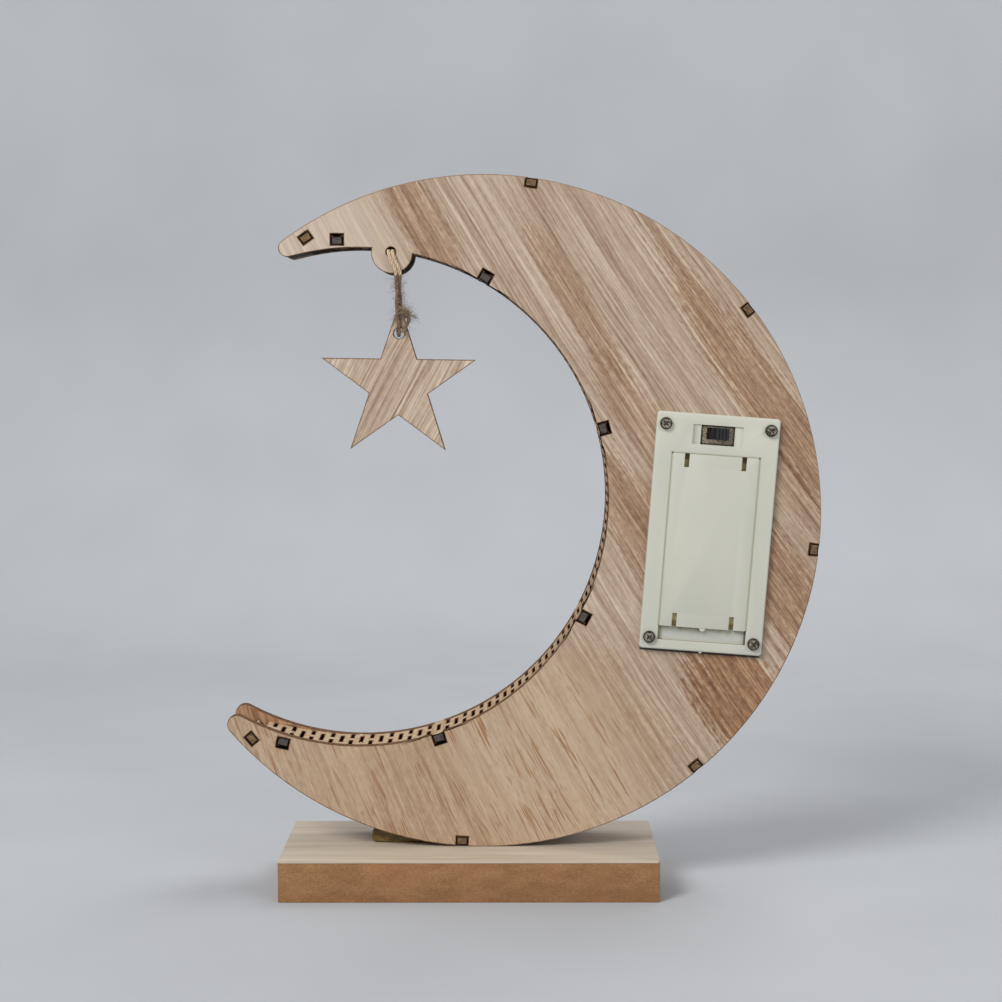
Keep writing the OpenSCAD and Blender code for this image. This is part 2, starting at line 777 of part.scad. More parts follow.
function pair_route(side, route) = [for (p = route) [side * pair_half + p[0], p[1], p[2]]];
function twist_route(side) = [for (i = [0:3]) let (a = 30 * i)
    [side * pair_half * cos(a), -side * pair_half * sin(a), twist_zs[i]]];
function loop_side(side) = [for (p = loop_shares)
    [0, side * (pair_half + p[0] * loop_spread), loop_top - p[1] * star_r]];
loop_last = len(loop_shares) - 1;
loop_up_side = loop_side(1);
loop_route = concat(
    loop_side(-1),
    [[0, 0, loop_top - low_share * star_r]],
    [for (i = [loop_last:-1:0]) loop_up_side[i]]
);

cord_sides = 8;
function unit(v) = v / norm(v);
function along(p, k) = k == 0 ? unit(p[1] - p[0])
    : k == len(p) - 1 ? unit(p[k] - p[k - 1]) : unit(p[k + 1] - p[k - 1]);
// The side direction starts across the route and is carried on from ring to ring
function side_of(p, k) = let (
        d = along(p, k),
        from = k == 0 ? [1, 0, 0] : side_of(p, k - 1)
    ) unit(from - (from * d) * d);
function cord_points(p, d) = [for (k = [0:len(p) - 1]) let (
        a = side_of(p, k),
        b = cross(along(p, k), a)
    ) for (j = [0:cord_sides - 1])
        p[k] + d / 2 * (cos(360 * j / cord_sides) * a - sin(360 * j / cord_sides) * b)];
module cord(p) polyhedron(cord_points(p, twine_d), tube_faces(len(p) - 1, cord_sides));

module at_twine()
    at_crescent() translate([hole_c[0] + drop_x, twine_y, hole_c[1]]) children();

twine_tint = "#8d7455";

module twine_hitch() {
    knot_r = 0.74 * lobe_hole_d;
    low = 0.5 * lobe_hole_d;
    color(twine_tint) {
        at_twine() for (side = [-1, 1])
            cord(pair_route(side, concat([hitch_start], hitch_rest)));
        // Stopper knot in the hollow, behind the lobe's hole and under the bent edge
        at_crescent() translate([hole_c[0], cavity_y + seat + knot_r, hole_c[1] - low])
            sphere(r = knot_r, $fn = 24);
    }
}

module twine_upper()
    color(twine_tint) at_twine() for (side = [-1, 1]) cord(pair_route(side, upper_route));

module twine_lower()
    color(twine_tint) at_twine() for (side = [-1, 1]) cord(twist_route(side));

module twine_loop() color(twine_tint) at_twine() cord(loop_route);

// Knot of the loop, at the right of the front strand
module twine_knot()
    color(twine_tint) at_twine()
        translate([knot_at[0], knot_at[1], loop_top - knot_at[2] * star_r])
            rotate([0, 12, 0]) hull() {
                translate([0, 0, 0.7 * twine_d]) sphere(d = 1.55 * twine_d, $fn = 16);
                translate([0, 0, -0.7 * twine_d]) sphere(d = 1.35 * twine_d, $fn = 16);
            }

module star()
    color("#cba37a") at_twine() translate([0, 0, loop_top - loop_up - star_hole_up])
        upright(-ply_t / 2, ply_t) star_outline();

base_block();
base_veneer();
glue_bead();
back_panel();
front_panel();
inner_edge_band();
outer_edge_band();
lamp_bulbs();
lamp_wiring();
battery_case();
battery_lid();
case_screws();
cell_left();
cell_right();
end_contacts();
bridge_contact();
contact_springs();
switch_shell();
switch_base();
switch_knob();
twine_hitch();
twine_upper();
twine_lower();
twine_loop();
twine_knot();
star();
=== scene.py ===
# %% [markdown]
# A crescent ornament, seen from its back.
# Two plywood crescents stand on a wooden foot, with bent plywood edges between them. A battery
# case is screwed to the back, and a wooden star hangs on twine from the upper horn. The solids
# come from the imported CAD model. This script gives each of them its real finish, and remakes the
# pieces whose look needs more than a plain solid: scorched plywood edges, twine, glue and plastic.

import math
import random

import bmesh
import bpy
from mathutils import Matrix, Vector, noise


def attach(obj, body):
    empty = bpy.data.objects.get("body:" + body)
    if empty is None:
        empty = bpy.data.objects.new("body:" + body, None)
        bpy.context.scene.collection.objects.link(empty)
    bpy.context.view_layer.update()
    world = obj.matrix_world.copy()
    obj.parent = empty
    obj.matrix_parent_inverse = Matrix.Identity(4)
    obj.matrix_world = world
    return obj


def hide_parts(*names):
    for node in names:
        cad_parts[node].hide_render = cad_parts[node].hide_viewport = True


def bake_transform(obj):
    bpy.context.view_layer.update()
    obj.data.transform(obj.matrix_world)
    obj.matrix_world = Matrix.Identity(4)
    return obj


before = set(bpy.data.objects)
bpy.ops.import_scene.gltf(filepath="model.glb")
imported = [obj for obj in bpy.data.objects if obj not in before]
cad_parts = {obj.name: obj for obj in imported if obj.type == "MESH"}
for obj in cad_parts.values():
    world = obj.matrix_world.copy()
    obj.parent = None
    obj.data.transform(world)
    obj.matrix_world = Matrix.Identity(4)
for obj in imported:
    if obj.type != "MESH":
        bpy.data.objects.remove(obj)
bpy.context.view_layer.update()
MM = 0.001

# %% [markdown]
# Some of the CAD model's measures are needed again and again: the crescent's two circles, the
# plywood, and the place and lean of the battery case. They are in millimetres. The back panel's
# own back lies at BACK_Y, and the hollow between the panels reaches from HOLLOW_BACK to
# HOLLOW_FRONT.

# %% Measures
def on_circle(radius, angle):
    """A place on a circle about zero, with the angle in degrees."""
    return Vector((math.cos(math.radians(angle)), math.sin(math.radians(angle)))) * radius


PLY = 3
OUTER_R = 120
INNER_R = 0.741 * OUTER_R
CENTRE = Vector((5.2, 134.6))
INNER_CENTRE = CENTRE + on_circle(0.374 * OUTER_R, 180 - 7.3)
BACK_Y = -8.4
HOLLOW_BACK = BACK_Y + PLY
HOLLOW_FRONT = 12.6
CASE = Vector((CENTRE.x + 0.669 * OUTER_R, BACK_Y, CENTRE.y - 0.056 * OUTER_R))
CASE_LEAN = math.radians(4.3)
print("The inner circle's centre is at", [round(v, 2) for v in INNER_CENTRE])

# %% [markdown]
# The camera comes before the pieces, because every later choice is judged through it. The
# photograph was taken with a long lens from a little above, almost square to the crescent. Its
# place and turn were found by matching the crescent's circles, the foot's corners and the case's
# corners. The camera's three axes are written out here, which is easier to check than three
# Euler angles. FOCAL and PICTURE are in pixels, and SENSOR is in millimetres.

# %% Camera
PICTURE = 1002
FOCAL = 1900
SENSOR = 36
PITCH = 0.080659
YAW = -0.005056
ROLL = 0.002211
EYE = Vector((14.863, -681.451, 194.006)) * MM

ahead = Vector(
    (math.sin(YAW) * math.cos(PITCH), math.cos(YAW) * math.cos(PITCH), -math.sin(PITCH))
)
level_right = Vector((math.cos(YAW), -math.sin(YAW), 0))
level_up = Vector(
    (math.sin(YAW) * math.sin(PITCH), math.cos(YAW) * math.sin(PITCH), math.cos(PITCH))
)
right = level_right * math.cos(ROLL) - level_up * math.sin(ROLL)
up = level_right * math.sin(ROLL) + level_up * math.cos(ROLL)
turn = Matrix((right, up, -ahead)).transposed()


def put(name, data):
    """Makes an object of some data and links it to the scene."""
    made = bpy.data.objects.new(name, data)
    bpy.context.scene.collection.objects.link(made)
    return made


lens = bpy.data.cameras.new("photo_camera")
lens.sensor_width = SENSOR
lens.lens = FOCAL / PICTURE * SENSOR
lens.clip_start = 0.01
camera = put("photo_camera", lens)
camera.matrix_world = Matrix.Translation(EYE) @ turn.to_4x4()
bpy.context.scene.camera = camera
print("Lens in mm:", round(lens.lens, 2))

# %% [markdown]
# Materials are written as sums. A Wire holds a node's output, and Python's operators on it add
# Math nodes, so that a pattern reads like a formula. Masks come from rise and near, which both
# give 0 to 1, and over lays one colour on another.

# %% Wire class
class Wire:
    """A node's output that takes part in Python sums."""

    def __init__(self, finish, socket):
        self.finish = finish
        self.socket = socket

    def math(self, operation, *others):
        return self.finish.add("ShaderNodeMath", {"operation": operation}, [self, *others])

    def __add__(self, other):
        return self.math("ADD", other)

    def __mul__(self, other):
        return self.math("MULTIPLY", other)

    def __sub__(self, other):
        return self.math("SUBTRACT", other)

    def __truediv__(self, other):
        return self.math("DIVIDE", other)

    def __rsub__(self, other):
        return self.finish.add("ShaderNodeMath", {"operation": "SUBTRACT"}, [other, self])

    def __abs__(self):
        return self.math("ABSOLUTE")

    __radd__ = __add__
    __rmul__ = __mul__

    def rise(self, low, high):
        """0 at low and 1 at high, with a soft start and end. It falls where low is larger."""
        settings = {"interpolation_type": "SMOOTHSTEP"}
        return self.finish.add("ShaderNodeMapRange", settings, [self, low, high, 0.0, 1.0])

    def near(self, middle, far, close):
        """1 where it is closer to a number than close, 0 where it is farther off than far."""
        return abs(self - middle).rise(far, close)

    def over(self, amount, red, green, blue, blend="MIX"):
        """This colour with a tone laid over it, by an amount from 0 to 1."""
        return self.finish.mix(amount, self, tone(red, green, blue), blend)

# %% [markdown]
# A Finish holds one material. Its x, y and z are the place on the piece in millimetres, which
# makes a grain line or a fibre easy to size. Its noises are the raw stuff of every pattern here,
# and paint joins the result to the shader.

# %% Finish class
class Finish:
    """One material. Places are in millimetres."""

    def __init__(self, name, **constants):
        self.material = bpy.data.materials.new(name)
        self.material.use_nodes = True
        self.tree = self.material.node_tree
        self.shader = self.tree.nodes["Principled BSDF"]
        for key, value in constants.items():
            self.shader.inputs[key.replace("_", " ")].default_value = value
        coordinates = self.add("ShaderNodeTexCoord", out="Object")
        scaled = self.add("ShaderNodeVectorMath", {"operation": "SCALE"}, {0: coordinates, 3: 1000})
        parts = self.tree.nodes.new("ShaderNodeSeparateXYZ")
        self.tree.links.new(scaled.socket, parts.inputs[0])
        self.x, self.y, self.z = (Wire(self, s) for s in parts.outputs)

    def add(self, kind, settings=None, inputs=(), out=0):
        """Adds a node of a kind with its settings and inputs, and gives back one output."""
        node = self.tree.nodes.new(kind)
        for key, value in (settings or {}).items():
            if key == "stops":
                ramp = node.color_ramp.elements
                while len(ramp) < len(value):
                    ramp.new(0.5)
                for stop, (place, colour) in zip(ramp, value):
                    stop.position, stop.color = place, colour
            else:
                setattr(node, key, value)
        pairs = inputs.items() if isinstance(inputs, dict) else enumerate(inputs)
        for key, value in pairs:
            if isinstance(value, Wire):
                self.tree.links.new(value.socket, node.inputs[key])
            else:
                node.inputs[key].default_value = value
        return Wire(self, node.outputs[out])

    def cloud(self, x, y, z=0.0, detail=2.0, roughness=0.5):
        """Soft noise about 0.5. Its lumps are one unit wide."""
        place = self.add("ShaderNodeCombineXYZ", None, [x, y, z])
        settings = {"Vector": place, "Scale": 1.0, "Detail": detail, "Roughness": roughness}
        return self.add("ShaderNodeTexNoise", None, settings)

    def lumps(self, x, y, z, detail=2.0, roughness=0.5):
        """Soft noise all over a piece, with so many lumps to a mm along x, y and z."""
        return self.cloud(self.x * x, self.y * y, self.z * z, detail, roughness)

    def ramp(self, value, *stops):
        """A colour that goes through the stops, each a place from 0 to 1 and a tone."""
        stops = [(place, tone(*colour)) for place, *colour in stops]
        return self.add("ShaderNodeValToRGB", {"stops": stops}, [value])

    def mix(self, amount, first, second, blend="MIX"):
        settings = {"data_type": "RGBA", "blend_type": blend}
        return self.add("ShaderNodeMix", settings, {0: amount, 6: first, 7: second}, out=2)

    def paint(self, colour, rough=None, relief=None, depth=0.05):
        """Joins the pattern to the shader. relief is a height from 0 to 1, and depth is in mm."""
        self.tree.links.new(colour.socket, self.shader.inputs["Base Color"])
        if rough:
            self.tree.links.new(rough.socket, self.shader.inputs["Roughness"])
        if relief:
            inputs = {"Strength": 1.0, "Distance": depth * MM, "Height": relief}
            bump = self.add("ShaderNodeBump", None, inputs)
            self.tree.links.new(bump.socket, self.shader.inputs["Normal"])
        return self


bare = Finish("bare")
print("A finish starts with", len(bare.tree.nodes), "nodes")
bpy.data.materials.remove(bare.material)

# %% [markdown]
# Colours are picked as a picture shows them, from 0 to 255, and tone turns them into the light
# that Blender reckons with. Two more helpers measure on a piece: away from a circle's axis, and
# across and up the battery case.

# %% Tones and distances
def tone(red, green, blue):
    """A colour as a picture shows it, from 0 to 255, turned into the light that it reflects."""
    def light(c):
        c /= 255
        return c / 12.92 if c < 0.04045 else ((c + 0.055) / 1.055) ** 2.4
    return (light(red), light(green), light(blue), 1.0)


def away_from(finish, centre):
    """Distance in mm from an axis along Y."""
    u = finish.x - centre.x
    v = finish.z - centre.y
    return (u * u + v * v).math("SQRT")


def case_axes(finish):
    """Distances in mm from the battery case's middle, to its right and up along it."""
    x = finish.x - CASE.x
    z = finish.z - CASE.z
    across = x * math.cos(CASE_LEAN) - z * math.sin(CASE_LEAN)
    upward = x * math.sin(CASE_LEAN) + z * math.cos(CASE_LEAN)
    return across, upward


print("A pale plywood tone reflects", [round(v, 3) for v in tone(200, 180, 155)])

# %% [markdown]
# The plywood's face is the largest surface, so its grain gets the most work. Its pattern is laid
# out in two distances, across the grain and along it, and not in x and z. The grain isn't
# parallel: its lines lean less at the right and at the top. So the distance across it has two
# bent terms besides the straight one. Browner and paler patches are soft ellipses that lie along
# the grain, where the real panel has them.

# %% Grain
def across_grain(x, z, angle, bent):
    """Distance across a grain that slopes down to the right. It takes numbers and wires alike."""
    across = x * math.sin(math.radians(angle)) + z * math.cos(math.radians(angle))
    if bent:
        across = across + (x - 15) * (z - 60) * 0.0016 + (z - 60) * (z - 60) * 0.0007
    return across


def along_grain(x, z, angle):
    """Distance along that grain, which is straight enough to do without bent terms."""
    return x * math.cos(math.radians(angle)) - z * math.sin(math.radians(angle))


def patch_over(across, along, rough_edge, angle, bent, patch):
    """1 inside a soft ellipse that lies along the grain, 0 outside."""
    x, z, half_across, half_along, strength = patch
    u = (across - across_grain(x, z, angle, bent)) / half_across
    v = (along - along_grain(x, z, angle)) / half_along
    return (u * u + v * v + rough_edge).rise(1.6, 0.5) * strength


print("Across the grain, the case is at", round(across_grain(CASE.x, CASE.z, 62, True)), "mm")

# %% [markdown]
# The veneer has long thin lines of pale and brown wood a few millimetres apart, finer threads
# and fibres between them, and in its calmer lower half short brown dashes and specks in
# clusters. Each of these is the same noise, stretched along the grain by a different amount. The
# stripes could come from a wave pattern, but real veneer never repeats. Their sum picks a tone
# from a ramp of five, and the patches, the rosy areas, the specks and the dashes are laid over it.

# %% Plywood face
def plywood(name, angle, seed, brown=(), pale=(), calm=None, bent=False, lines=1.0, sway=7.0,
            fine=1.0, lift=0.0):
    """A plywood face. The patches brown and pale hold a place, two half sizes and a strength.
    calm is where the stripes fade, lines how strong they are, sway how far they wander, fine how
    close they are, and lift makes the wood paler."""
    finish = Finish(name)
    along = along_grain(finish.x, finish.z, angle)
    across = across_grain(finish.x, finish.z, angle, bent)
    across = across + (finish.cloud(across / 50, along / 130, seed) - 0.5) * sway
    across = across + (finish.cloud(across * 0.3, along * 0.04, seed + 5) - 0.5) * 1.2

    def grain(close, short, shift, detail=1.0, roughness=0.5):
        """Noise with close lumps to a mm across the grain and short ones along it."""
        return finish.cloud(across * close, along * short, seed + shift, detail, roughness)

    broad = grain(0.12, 0.006, 1)
    stripes = grain(0.50 * fine, 0.008, 3)
    threads = grain(0.85 * fine, 0.020, 7)
    hairs = grain(1.9, 0.060, 9)
    fibres = grain(4.0, 0.15, 11, 2.0, 0.6)
    mottle = grain(0.8, 0.35, 15, 3.0, 0.65)
    amount = (stripes - 0.5) * 0.75 + (threads - 0.5) * 0.92 + (hairs - 0.5) * 0.54
    spread = (broad - 0.5) * 0.3 + (fibres - 0.5) * 0.25 + (mottle - 0.5) * 0.45
    quiet = 0.0
    if calm:
        x, z, width, height = calm
        u = (finish.x - x) / width
        v = (finish.z - z) / height
        quiet = (u * u + v * v + (mottle - 0.5)).rise(1.5, 0.5)
        amount = amount * (1 - quiet * 0.5)
    colour = finish.ramp(
        amount * lines + spread + (0.5 + lift),
        (0.10, 134, 106, 82), (0.30, 155, 129, 105), (0.50, 176, 153, 130),
        (0.70, 194, 173, 151), (0.90, 210, 192, 170),
    )
    rough_edge = (threads - 0.5) * 2.4 + (mottle - 0.5) * 2.0
    for patch in pale:
        near = patch_over(across, along, rough_edge, angle, bent, patch)
        colour = colour.over(near, 214, 198, 180)
    heartwood = finish.ramp(
        mottle * 0.5 + hairs * 0.5, (0.38, 192, 156, 126), (0.62, 236, 212, 184)
    )
    for patch in brown:
        near = patch_over(across, along, rough_edge, angle, bent, patch)
        colour = finish.mix(near, colour, heartwood, "MULTIPLY")
    colour = colour.over(quiet, 255, 248, 236, "MULTIPLY")
    rosy = grain(0.2, 0.03, 31, 2.0).rise(0.42, 0.60)
    colour = colour.over(rosy * 0.45, 251, 249, 255, "MULTIPLY")
    dashes = grain(1.5, 0.050, 19).rise(0.57, 0.63)
    specks = grain(2.1, 0.16, 23).rise(0.605, 0.66)
    cluster = grain(0.17, 0.035, 27, 2.0).rise(0.40, 0.58)
    often = (cluster * 0.65 + 0.35) * (quiet * 0.80 + 0.20)
    colour = colour.over(specks * often * 0.6, 142, 112, 74)
    colour = colour.over(dashes * often * 0.9, 151, 110, 72)
    rough = threads * 0.14 + 0.54
    return finish, colour, rough, fibres * 0.4 + threads * 0.6


GRAIN_DEPTH = 0.06


def plain_plywood(*args, **options):
    finish, colour, rough, relief = plywood(*args, **options)
    return finish.paint(colour, rough, relief, GRAIN_DEPTH)


front_face = plain_plywood("ply_front_face", 62, 31.0, bent=True)
star_face = plain_plywood("ply_star_face", 118, 83.0, lines=1.25, sway=3.0, fine=1.5, lift=0.08)
print("Plain plywood face has", len(front_face.tree.nodes), "nodes")

# %% [markdown]
# The back panel is the one in the photograph, so its brown and pale patches are placed one by one.
# Right under the case's lower edge the wood is painted nearly black, and a little darker along the
# case's right side. That is a painted shadow of the case on the panel, because the gap under the
# case's flange is too thin for the lamps to draw.

# %% Back panel's face
def case_shadow(finish, colour):
    """Painted shadow on the panel under the case's lower edge and, fainter, along its right side.
    """
    across, upward = case_axes(finish)
    under = upward.near(-42.0, 1.6, 1.1) * across.near(0, 22, 21)
    beside = across.near(21.2, 2.0, 0.7) * upward.near(0, 42.2, 40.5)
    colour = colour.over(beside * 0.4, 84, 62, 42)
    return colour.over(under * 0.95, 26, 14, 8)


BROWN = (
    (107, 173, 11, 62, 0.7),
    (112, 146, 7, 24, 0.4),
    (109, 111, 14, 44, 0.75),
    (98, 69, 15, 27, 1.1),
    (60, 170, 10, 26, 0.4),
    (62, 128, 11, 40, 0.6),
    (38, 210, 7, 34, 0.45),
    (-16, 238, 8, 28, 0.6),
)
PALE = (
    (-50, 232, 26, 40, 0.5),
    (28, 46, 26, 60, 0.30),
    (-62, 46, 18, 34, 0.15),
)
back_finish, colour, rough, relief = plywood(
    "ply_back_face", 62, 2.0, BROWN, PALE, calm=(-20, 44, 88, 56), bent=True
)
back_face = back_finish.paint(case_shadow(back_finish, colour), rough, relief, GRAIN_DEPTH)
print("Back panel's face has", len(back_face.tree.nodes), "nodes")

# %% [markdown]
# The panels' inner faces show in the open lower horn, where they are browner. Behind the bent inner
# strip and in the upper horn they are painted black as painted shade, which also keeps the strip's
# cuts dark, as the shaded hollow does on the real one. The strips' own wood is paler and yellower
# than the panels', with brown smudges, and the inner strip is painted dark above a height, as
# painted shade.

# %% Wood inside and wood of the strips
def shaded_inside(finish):
    """1 on a panel's inner face where the bent inner strip stands on it and behind it."""
    right_half = finish.x.rise(-39.9, -39.7)
    round_part = away_from(finish, INNER_CENTRE).rise(89.1, 89.3) * right_half
    tail = away_from(finish, Vector((-39.2, 176.5))).rise(125.3, 125.5) * (1 - right_half)
    return round_part + tail * finish.x.rise(-74, -73)


def inner_plywood():
    finish, colour, rough, relief = plywood("ply_inner_face", 76, 131.0, lines=1.3)
    colour = colour.over(1.0, 238, 208, 178, "MULTIPLY")
    # Painted shade: the hollow behind the inner strip and the upper horn are painted nearly black.
    painted_shade = shaded_inside(finish).math("MAXIMUM", finish.z.rise(190, 200))
    colour = colour.over(painted_shade, 26, 19, 15)
    return finish.paint(colour, rough, relief, GRAIN_DEPTH)


def strip_wood(name, shade_from):
    """The strips' plywood, pale and yellow, with painted shade above a height in mm."""
    finish = Finish(name, Roughness=0.66, Specular_IOR_Level=0.3)
    streaks = finish.cloud(finish.y * 1.3, (finish.x + finish.z) * 0.05, 5.0, 2.0)
    mottle = finish.lumps(0.5, 0.5, 0.5, 3.0, 0.6)
    colour = finish.ramp(
        streaks * 0.6 + mottle * 0.4,
        (0.34, 160, 132, 100), (0.50, 186, 161, 128), (0.66, 204, 184, 152),
    )
    smudge = finish.lumps(0.22, 0.12, 0.22).rise(0.50, 0.66)
    colour = colour.over(smudge * 0.5, 164, 118, 80)
    colour = colour.over(finish.z.rise(45, 100) * 0.6, 158, 124, 94)
    # Painted shade above a height.
    colour = colour.over(finish.z.rise(shade_from, shade_from + 20), 24, 18, 15)
    return finish.paint(colour, None, streaks, 0.05)


inner_face = inner_plywood()
strip_face = strip_wood("strip_face", 400)
shaded_face = strip_wood("shaded_strip_face", 185)
print("Strip wood has", len(strip_face.tree.nodes), "nodes")

# %% [markdown]
# A laser burns the plywood where it cuts, and its cut walls are dark. They are painted nearly black
# high up and inside the slots, as painted shade, and brown on the lower part of the panels, as
# painted light on walls that face up. A thin scorched line runs along the rim of every face, wider
# and yellower on the strips. The ends of the strips' tabs show their plies, the outer strip's in
# brown and the inner strip's in grey.

# %% Scorched plywood
def charred_wall(name, lit_below):
    """A laser-cut wall, painted brown below a height in mm as painted light, and nearly black above
    it and inside the slots as painted shade.
    """
    finish = Finish(name, Roughness=0.9, Specular_IOR_Level=0.1)
    soot = finish.lumps(0.5, 2.5, 0.5, 3.0, 0.6)
    streak = finish.lumps(3, 0.4, 3)
    mixed = soot * 0.6 + streak * 0.4
    black = finish.ramp(mixed, (0.3, 14, 9, 7), (0.5, 27, 19, 14), (0.7, 48, 34, 24))
    brown = finish.ramp(mixed, (0.3, 78, 54, 38), (0.5, 104, 76, 54), (0.7, 132, 100, 72))
    in_slot = away_from(finish, CENTRE).rise(OUTER_R - 0.1, OUTER_R - 0.3)
    in_slot = in_slot * away_from(finish, INNER_CENTRE).rise(INNER_R + 0.2, INNER_R + 0.5)
    in_slot = in_slot * finish.x.rise(-82, -81)
    # Painted light below a height, painted shade above it and in the slots.
    low = finish.z.rise(lit_below, lit_below - 50) * (1 - in_slot)
    return finish.paint(finish.mix(low, black, brown), None, streak, 0.04)


def scorched_rim(name, dark, middle, light, faint=0.0):
    """A face's burnt rim. faint is how much it fades at the crescent's outer edge, high up."""
    finish = Finish(name, Roughness=0.85, Specular_IOR_Level=0.2)
    patch = finish.lumps(0.6, 1, 0.6, 3.0, 0.6)
    colour = finish.ramp(patch, (0.3, *dark), (0.52, *middle), (0.72, *light))
    outside = away_from(finish, CENTRE).rise(OUTER_R - 0.7, OUTER_R - 0.5)
    outside = outside * finish.z.rise(95, 140)
    return finish.paint(colour.over(outside * faint, 178, 154, 128))


def tab_end(name, dark, light):
    """The end of a tab, with its plies showing as streaks."""
    finish = Finish(name, Roughness=0.85, Specular_IOR_Level=0.15)
    plies = finish.cloud(finish.x * 0.35, 0.0, finish.z * 1.2, 2.0)
    soot = finish.cloud(finish.x * 1.4, 3.0, finish.z * 1.4, 3.0, 0.6)
    colour = finish.ramp(plies * 0.5 + soot * 0.5, (0.35, *dark), (0.62, *light))
    return finish.paint(colour, None, soot, 0.05)


brown_end = tab_end("brown_tab_end", (70, 52, 34), (138, 110, 80))
grey_end = tab_end("grey_tab_end", (56, 49, 46), (98, 88, 83))
# The panels' walls are painted brown below 130 mm as painted light and black above as painted
# shade. The all-black wall is the tabs' border: char, with painted shade of the gap round each tab.
char = charred_wall("charred_wall", 130)
soot = charred_wall("char_and_shade_wall", 0)
scorch = scorched_rim("scorched_rim", (82, 58, 40), (116, 88, 64), (152, 124, 98), faint=0.45)
halo = scorched_rim("scorched_halo", (112, 70, 42), (146, 100, 64), (182, 142, 104))
print("Scorched finishes:", char.material.name, scorch.material.name)

# %% [markdown]
# Most pieces end the same way: the mesh becomes an object at the origin, gets its finishes, and
# rides on the body that it belongs to. One helper does that. Another copies a CAD solid and joins
# its loose triangles. A third picks out the copy's skin and insets its border by a hair. The new
# border faces take the scorched finish and the walls the charred one, so that the burnt line
# follows every slot and cut without any painting.

# %% Finished piece and scorched copy
def finish_piece(name, shape, finishes, body, stands_for=(), smooth=30):
    """Makes a mesh into a piece. Edges flatter than smooth degrees are shaded round."""
    mesh = bpy.data.meshes.new(name)
    shape.to_mesh(mesh)
    shape.free()
    for item in finishes:
        mesh.materials.append(item.material)
    mesh.shade_smooth()
    mesh.set_sharp_from_angle(angle=math.radians(smooth))
    piece = put(name, mesh)
    if body:
        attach(piece, body)
    if stands_for:
        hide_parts(*stands_for)
    print(name, "has", len(mesh.polygons), "faces")
    return piece


def joined_copy(node):
    """A copy of a CAD solid with its loose triangles joined."""
    shape = bmesh.new()
    shape.from_mesh(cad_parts[node].data)
    bmesh.ops.remove_doubles(shape, verts=shape.verts, dist=1e-6)
    bmesh.ops.dissolve_degenerate(shape, dist=1e-7, edges=shape.edges)
    shape.normal_update()
    return shape


def scorched_copy(node, is_skin, rim=0.28):
    """Skin faces get finish 0, their scorched rim 1 and the cut walls 2. rim is its width."""
    shape = joined_copy(node)
    skin = [f for f in shape.faces if is_skin(f)]
    for face in shape.faces:
        face.material_index = 2
    for face in skin:
        face.material_index = 0
    made = bmesh.ops.inset_region(
        shape, faces=skin, thickness=rim * MM, use_even_offset=True, use_boundary=True
    )
    for face in made["faces"]:
        face.material_index = 1
    return shape


def is_flat_side(face):
    """True for a face that looks to the back or to the front."""
    return abs(face.normal.y) > 0.9


def turn_inside(shape, y):
    """The skin faces at one depth, which look into the hollow, get finish 3."""
    for face in shape.faces:
        if face.material_index == 0 and abs(face.calc_center_median().y / MM - y) < 0.1:
            face.material_index = 3


for name, node, face, inner_y in (
    ("back_plywood", "back_panel", back_face, HOLLOW_BACK),
    ("front_plywood", "front_panel", front_face, HOLLOW_FRONT),
):
    panel = scorched_copy(node, is_flat_side)
    turn_inside(panel, inner_y)
    finish_piece(name, panel, [face, scorch, char, inner_face], "ornament", [node])
star = scorched_copy("star", is_flat_side)
finish_piece(
    "star_plywood", star, [star_face, scorch, char], "hanging_star", ["star"]
)

# %% [markdown]
# The strips between the panels are flat plywood that hundreds of short cuts let bend. Their skin
# isn't flat any more, so a face counts as skin where all its corners lie on the strip's inner or
# outer round wall. The walls have their centres where the CAD model has them, with the two end
# stretches on circles of their own. The ends of the tabs get a finish of their own inside a black
# border, which is char and painted shade of the gap round each tab. Their border is an inset too,
# so it stays even round every tab.

# %% Bent strips
def strip_skin(middle, radius, end_radius, first, last):
    """Tells whether a face lies on one of a bent strip's two round walls. The strip's middle
    line has one radius between the angles first and last, and end_radius beyond them."""
    upper_middle = middle + on_circle(radius - end_radius, first)
    lower_middle = middle + on_circle(radius - end_radius, last)

    def depth(corner):
        place = Vector((corner.x, corner.z)) / MM
        angle = math.degrees(math.atan2(place.y - middle.y, place.x - middle.x))
        if angle > first:
            return (place - upper_middle).length - end_radius
        if angle < last:
            return (place - lower_middle).length - end_radius
        return (place - middle).length - radius

    def is_skin(face):
        depths = [depth(v.co) for v in face.verts]
        on_walls = all(abs(abs(d) - PLY / 2) < 0.08 for d in depths)
        return on_walls and max(depths) - min(depths) < 0.2

    return is_skin


def is_tab_end(face):
    """True for a face at the depth of either panel's outer side."""
    middle_y = (HOLLOW_BACK + HOLLOW_FRONT) / 2
    return is_flat_side(face) and abs(face.calc_center_median().y / MM - middle_y) > 11.4


def blacken_tabs(shape, border=0.42):
    """The tabs' ends at the back and front get finish 3, inside a black border that is char and
    painted shade of the gap round the tab.
    """
    ends = [f for f in shape.faces if is_tab_end(f)]
    made = bmesh.ops.inset_region(shape, faces=ends, thickness=border * MM, use_even_offset=True)
    for face in ends:
        face.material_index = 3
    for face in made["faces"]:
        face.material_index = 4


